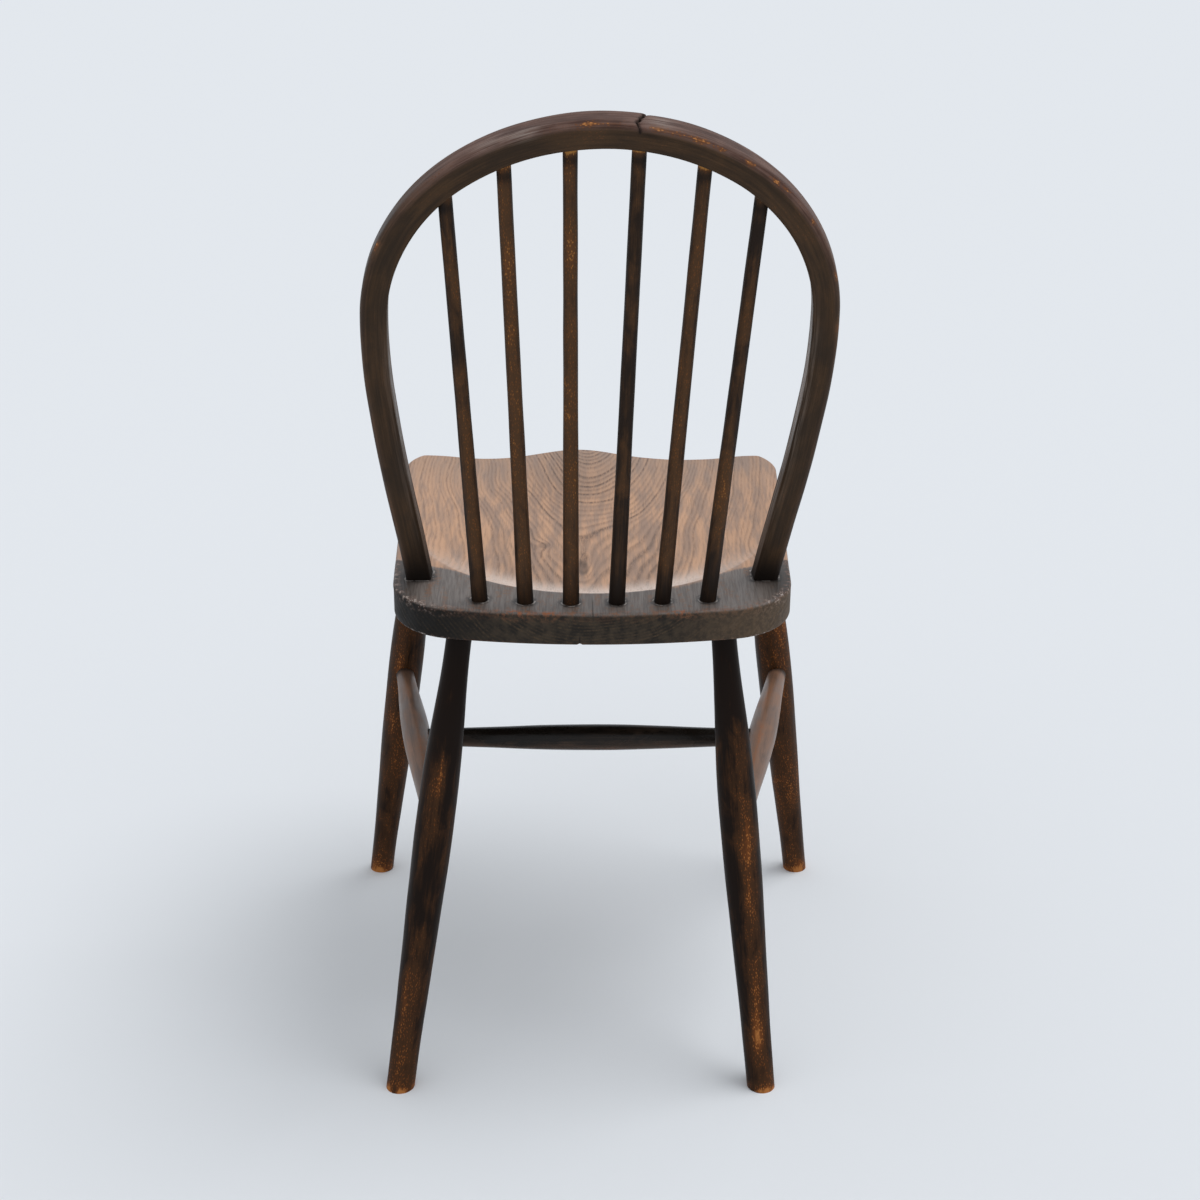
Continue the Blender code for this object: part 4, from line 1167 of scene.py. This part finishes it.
    # rubbed arrises, checks, and dirt with a pale line round each joint
    orange = mathNode(tree, "MULTIPLY", rubbed, ramp(tree, scuffs, 0.42, 0.60))
    colour = blendColour(tree, orange, colour, look["rubbed"])
    chalky = mathNode(tree, "MULTIPLY", pale, ramp(tree, scuffs, 0.53, 0.62))
    colour = blendColour(tree, chalky, colour, look["chalky"])
    creep = mathNode(tree, "ADD", away, scaled(tree, mathNode(tree, "SUBTRACT", scuffs, 0.5), 0.009))
    dirt = ramp(tree, creep, 0.001, look["dirtReach"], 1.0, 0.0)
    colour = blendColour(tree, scaled(tree, dirt, 0.75), colour, look["dirt"])
    rim = mathNode(tree, "MULTIPLY", ramp(tree, away, 0.0004, 0.0010), ramp(tree, away, 0.0014, 0.0024, 1.0, 0.0))
    rim = mathNode(tree, "MULTIPLY", rim, ramp(tree, cloud(tree, place, 170.0, 2.0), 0.44, 0.58, 0.0, 0.75))
    colour = blendColour(tree, rim, colour, look["chalky"])
    wander = scaled(tree, mathNode(tree, "SUBTRACT", figure, 0.5), 0.003)
    fromCheck = mathNode(tree, "ABSOLUTE", mathNode(tree, "ADD", mathNode(tree, "SUBTRACT", x, seat["check"][0]), wander))
    checkHere = mathNode(tree, "MULTIPLY", ramp(tree, fromCheck, 0.0003, 0.0008, 0.6, 0.0), ramp(tree, y, 0.122, 0.142))
    checkHere = mathNode(tree, "MULTIPLY", checkHere, ramp(tree, z, 0.4395, 0.4425))
    fromNotch = mathNode(tree, "ABSOLUTE", mathNode(tree, "SUBTRACT", x, seat["notch"][0]))
    notchHere = mathNode(tree, "MULTIPLY", ramp(tree, fromNotch, 0.0003, 0.0008, 1.0, 0.0), ramp(tree, z, 0.424, 0.429, 1.0, 0.0))
    notchHere = mathNode(tree, "MULTIPLY", notchHere, ramp(tree, y, 0.10, 0.12))
    colour = blendColour(tree, scaled(tree, mathNode(tree, "MAXIMUM", checkHere, notchHere), 0.9), colour, look["dirt"])
    feed(tree, shader.inputs["Base Color"], colour)
    gloss = ramp(tree, figure, 0.35, 0.65, look["roughness"] - 0.04, look["roughness"] + 0.06)
    gloss = mathNode(tree, "ADD", gloss, scaled(tree, lines, 0.10))
    feed(tree, shader.inputs["Roughness"], mathNode(tree, "ADD", gloss, scaled(tree, side, 0.24)))
    shader.inputs["Specular IOR Level"].default_value = look["shine"]
    bump = shaderNode(tree, "Bump")
    bump.inputs["Strength"].default_value = 0.4
    bump.inputs["Distance"].default_value = 0.0006
    height = mathNode(tree, "SUBTRACT", scaled(tree, hatch, 0.5), scaled(tree, lines, 0.8))
    feed(tree, bump.inputs["Height"], height)
    feed(tree, shader.inputs["Normal"], bump.outputs[0])
    return made


print("making materials")
legStain = stickMaterial("legStain")
bowStain = stickMaterial("bowStain")
spindleStain = stickMaterial("spindleStain")
sideStretcherStainAndSheen = stickMaterial("sideStretcherStainAndSheen")
crossStretcherStain = stickMaterial("crossStretcherStain")
wornElm = seatMaterial()

print("shaping the seat")
buildSeat(wornElm)
print("bending the bow")
buildBow(bowStain)
print("turning the spindles, legs and stretchers")
for index in range(spindles["count"]):
    buildSpindle(index, spindleStain)
seed = 11.0
middles = {}
for side in (1, -1):
    for rear in (True, False):
        buildLeg(rear, side, seed, legStain)
        seed += 1.7
    hand = "left" if side > 0 else "right"
    rearEnd, frontEnd = stretcherEnd(True, side), stretcherEnd(False, side)
    rubs = ((0.75, 80.0, 0.10, 14.0, 0.55), (0.45, 90.0, 0.15, 12.0, 0.45), (0.25, 95.0, 0.12, 30.0, 0.30))
    tone = -0.05 if side > 0 else 0.18
    sizes = stretchers["side"]
    buildStretcher(
        f"side_stretcher_{hand}", rearEnd, frontEnd, sizes, seed + 0.5, tone, rubs, sideStretcherStainAndSheen
    )
    middles[side] = rearEnd.lerp(frontEnd, 0.5)
# painted shade and light: the cross stretcher is toned dark for the seat's shade on its top, and rubbed lighter on its
# lower back side for the floor's light
rubs = ((0.5, -125.0, 0.6, 36.0, 0.75),)
buildStretcher(
    "cross_stretcher", middles[-1], middles[1], stretchers["cross"], 31.0, -0.30, rubs, crossStretcherStain
)


def wedgeMaterial():
    made = bpy.data.materials.new("wedgeWood")
    made.use_nodes = True
    tree = made.node_tree
    place = shaderNode(tree, "TexCoord").outputs["Object"]
    fibres = cloud(tree, stretched(tree, place, (700.0, 700.0, 60.0)), 1.0, 4.0, 0.6)
    shader = tree.nodes["Principled BSDF"]
    feed(tree, shader.inputs["Base Color"], blendColour(tree, ramp(tree, fibres, 0.35, 0.65), (0.045, 0.028, 0.018), (0.12, 0.075, 0.045)))
    shader.inputs["Roughness"].default_value = 0.6
    return made


wedgeWood = wedgeMaterial()
for name in ("bow_wedge_left", "bow_wedge_right"):
    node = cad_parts[name]
    node.data.materials.clear()
    node.data.materials.append(wedgeWood)

# ---- floor, light and camera ----

studio = {
    "background": (0.753, 0.791, 0.840),
    "floor": (0.775, 0.804, 0.842),
    "ambient": (0.68, 0.69, 0.70),
    "keyStrength": 1.10,
    "keyAngle": 38.0,
    "keyFrom": (-0.50, -0.14, 1.0),
}


def floorMaterial():
    made = bpy.data.materials.new("paleFloor")
    made.use_nodes = True
    tree = made.node_tree
    shader = tree.nodes["Principled BSDF"]
    shader.inputs["Roughness"].default_value = 1.0
    shader.inputs["Specular IOR Level"].default_value = 0.0
    shader.inputs["Base Color"].default_value = (*studio["floor"], 1.0)
    return made


def buildStudio():
    shape = bmesh.new()
    bmesh.ops.create_grid(shape, x_segments=8, y_segments=8, size=20.0)
    mesh = meshFrom(shape, "floor")
    mesh.materials.append(floorMaterial())
    floor = bpy.data.objects.new("floor", mesh)
    bpy.context.scene.collection.objects.link(floor)
    key = bpy.data.lights.new("overheadKey", "SUN")
    key.energy = studio["keyStrength"]
    key.angle = math.radians(studio["keyAngle"])
    lamp = bpy.data.objects.new("overheadKey", key)
    lamp.rotation_euler = Vector(studio["keyFrom"]).to_track_quat("Z", "Y").to_euler()
    bpy.context.scene.collection.objects.link(lamp)
    world = bpy.data.worlds.new("studio")
    bpy.context.scene.world = world
    world.use_nodes = True
    tree = world.node_tree
    shade = tree.nodes["Background"]
    # the backdrop is what the camera, and whatever shines, sees; the rest is plain soft light
    rays = shaderNode(tree, "LightPath").outputs
    seen = mathNode(tree, "MAXIMUM", rays["Is Camera Ray"], rays["Is Glossy Ray"])
    seen = mathNode(tree, "MAXIMUM", seen, rays["Is Transmission Ray"])
    feed(tree, shade.inputs["Color"], blendColour(tree, seen, studio["ambient"], studio["background"]))


def buildCamera():
    back = Vector((0.00826, 0.9096, 0.4153)).normalized()
    right = Vector((-0.99996, 0.00908, 0.0))
    up = back.cross(right).normalized()
    roll = Matrix.Rotation(math.radians(0.24), 4, back)
    matrix = roll @ Matrix((right, up, back)).transposed().to_4x4()
    matrix.translation = (0.0092, 1.8668, 1.2378)
    data = bpy.data.cameras.new("photoCamera")
    data.sensor_width = 36.0
    data.lens = 66.0
    camera = bpy.data.objects.new("photoCamera", data)
    camera.matrix_world = matrix
    bpy.context.scene.collection.objects.link(camera)
    bpy.context.scene.camera = camera


print("setting up the studio")
buildStudio()
buildCamera()
bpy.context.scene.view_settings.view_transform = "Standard"
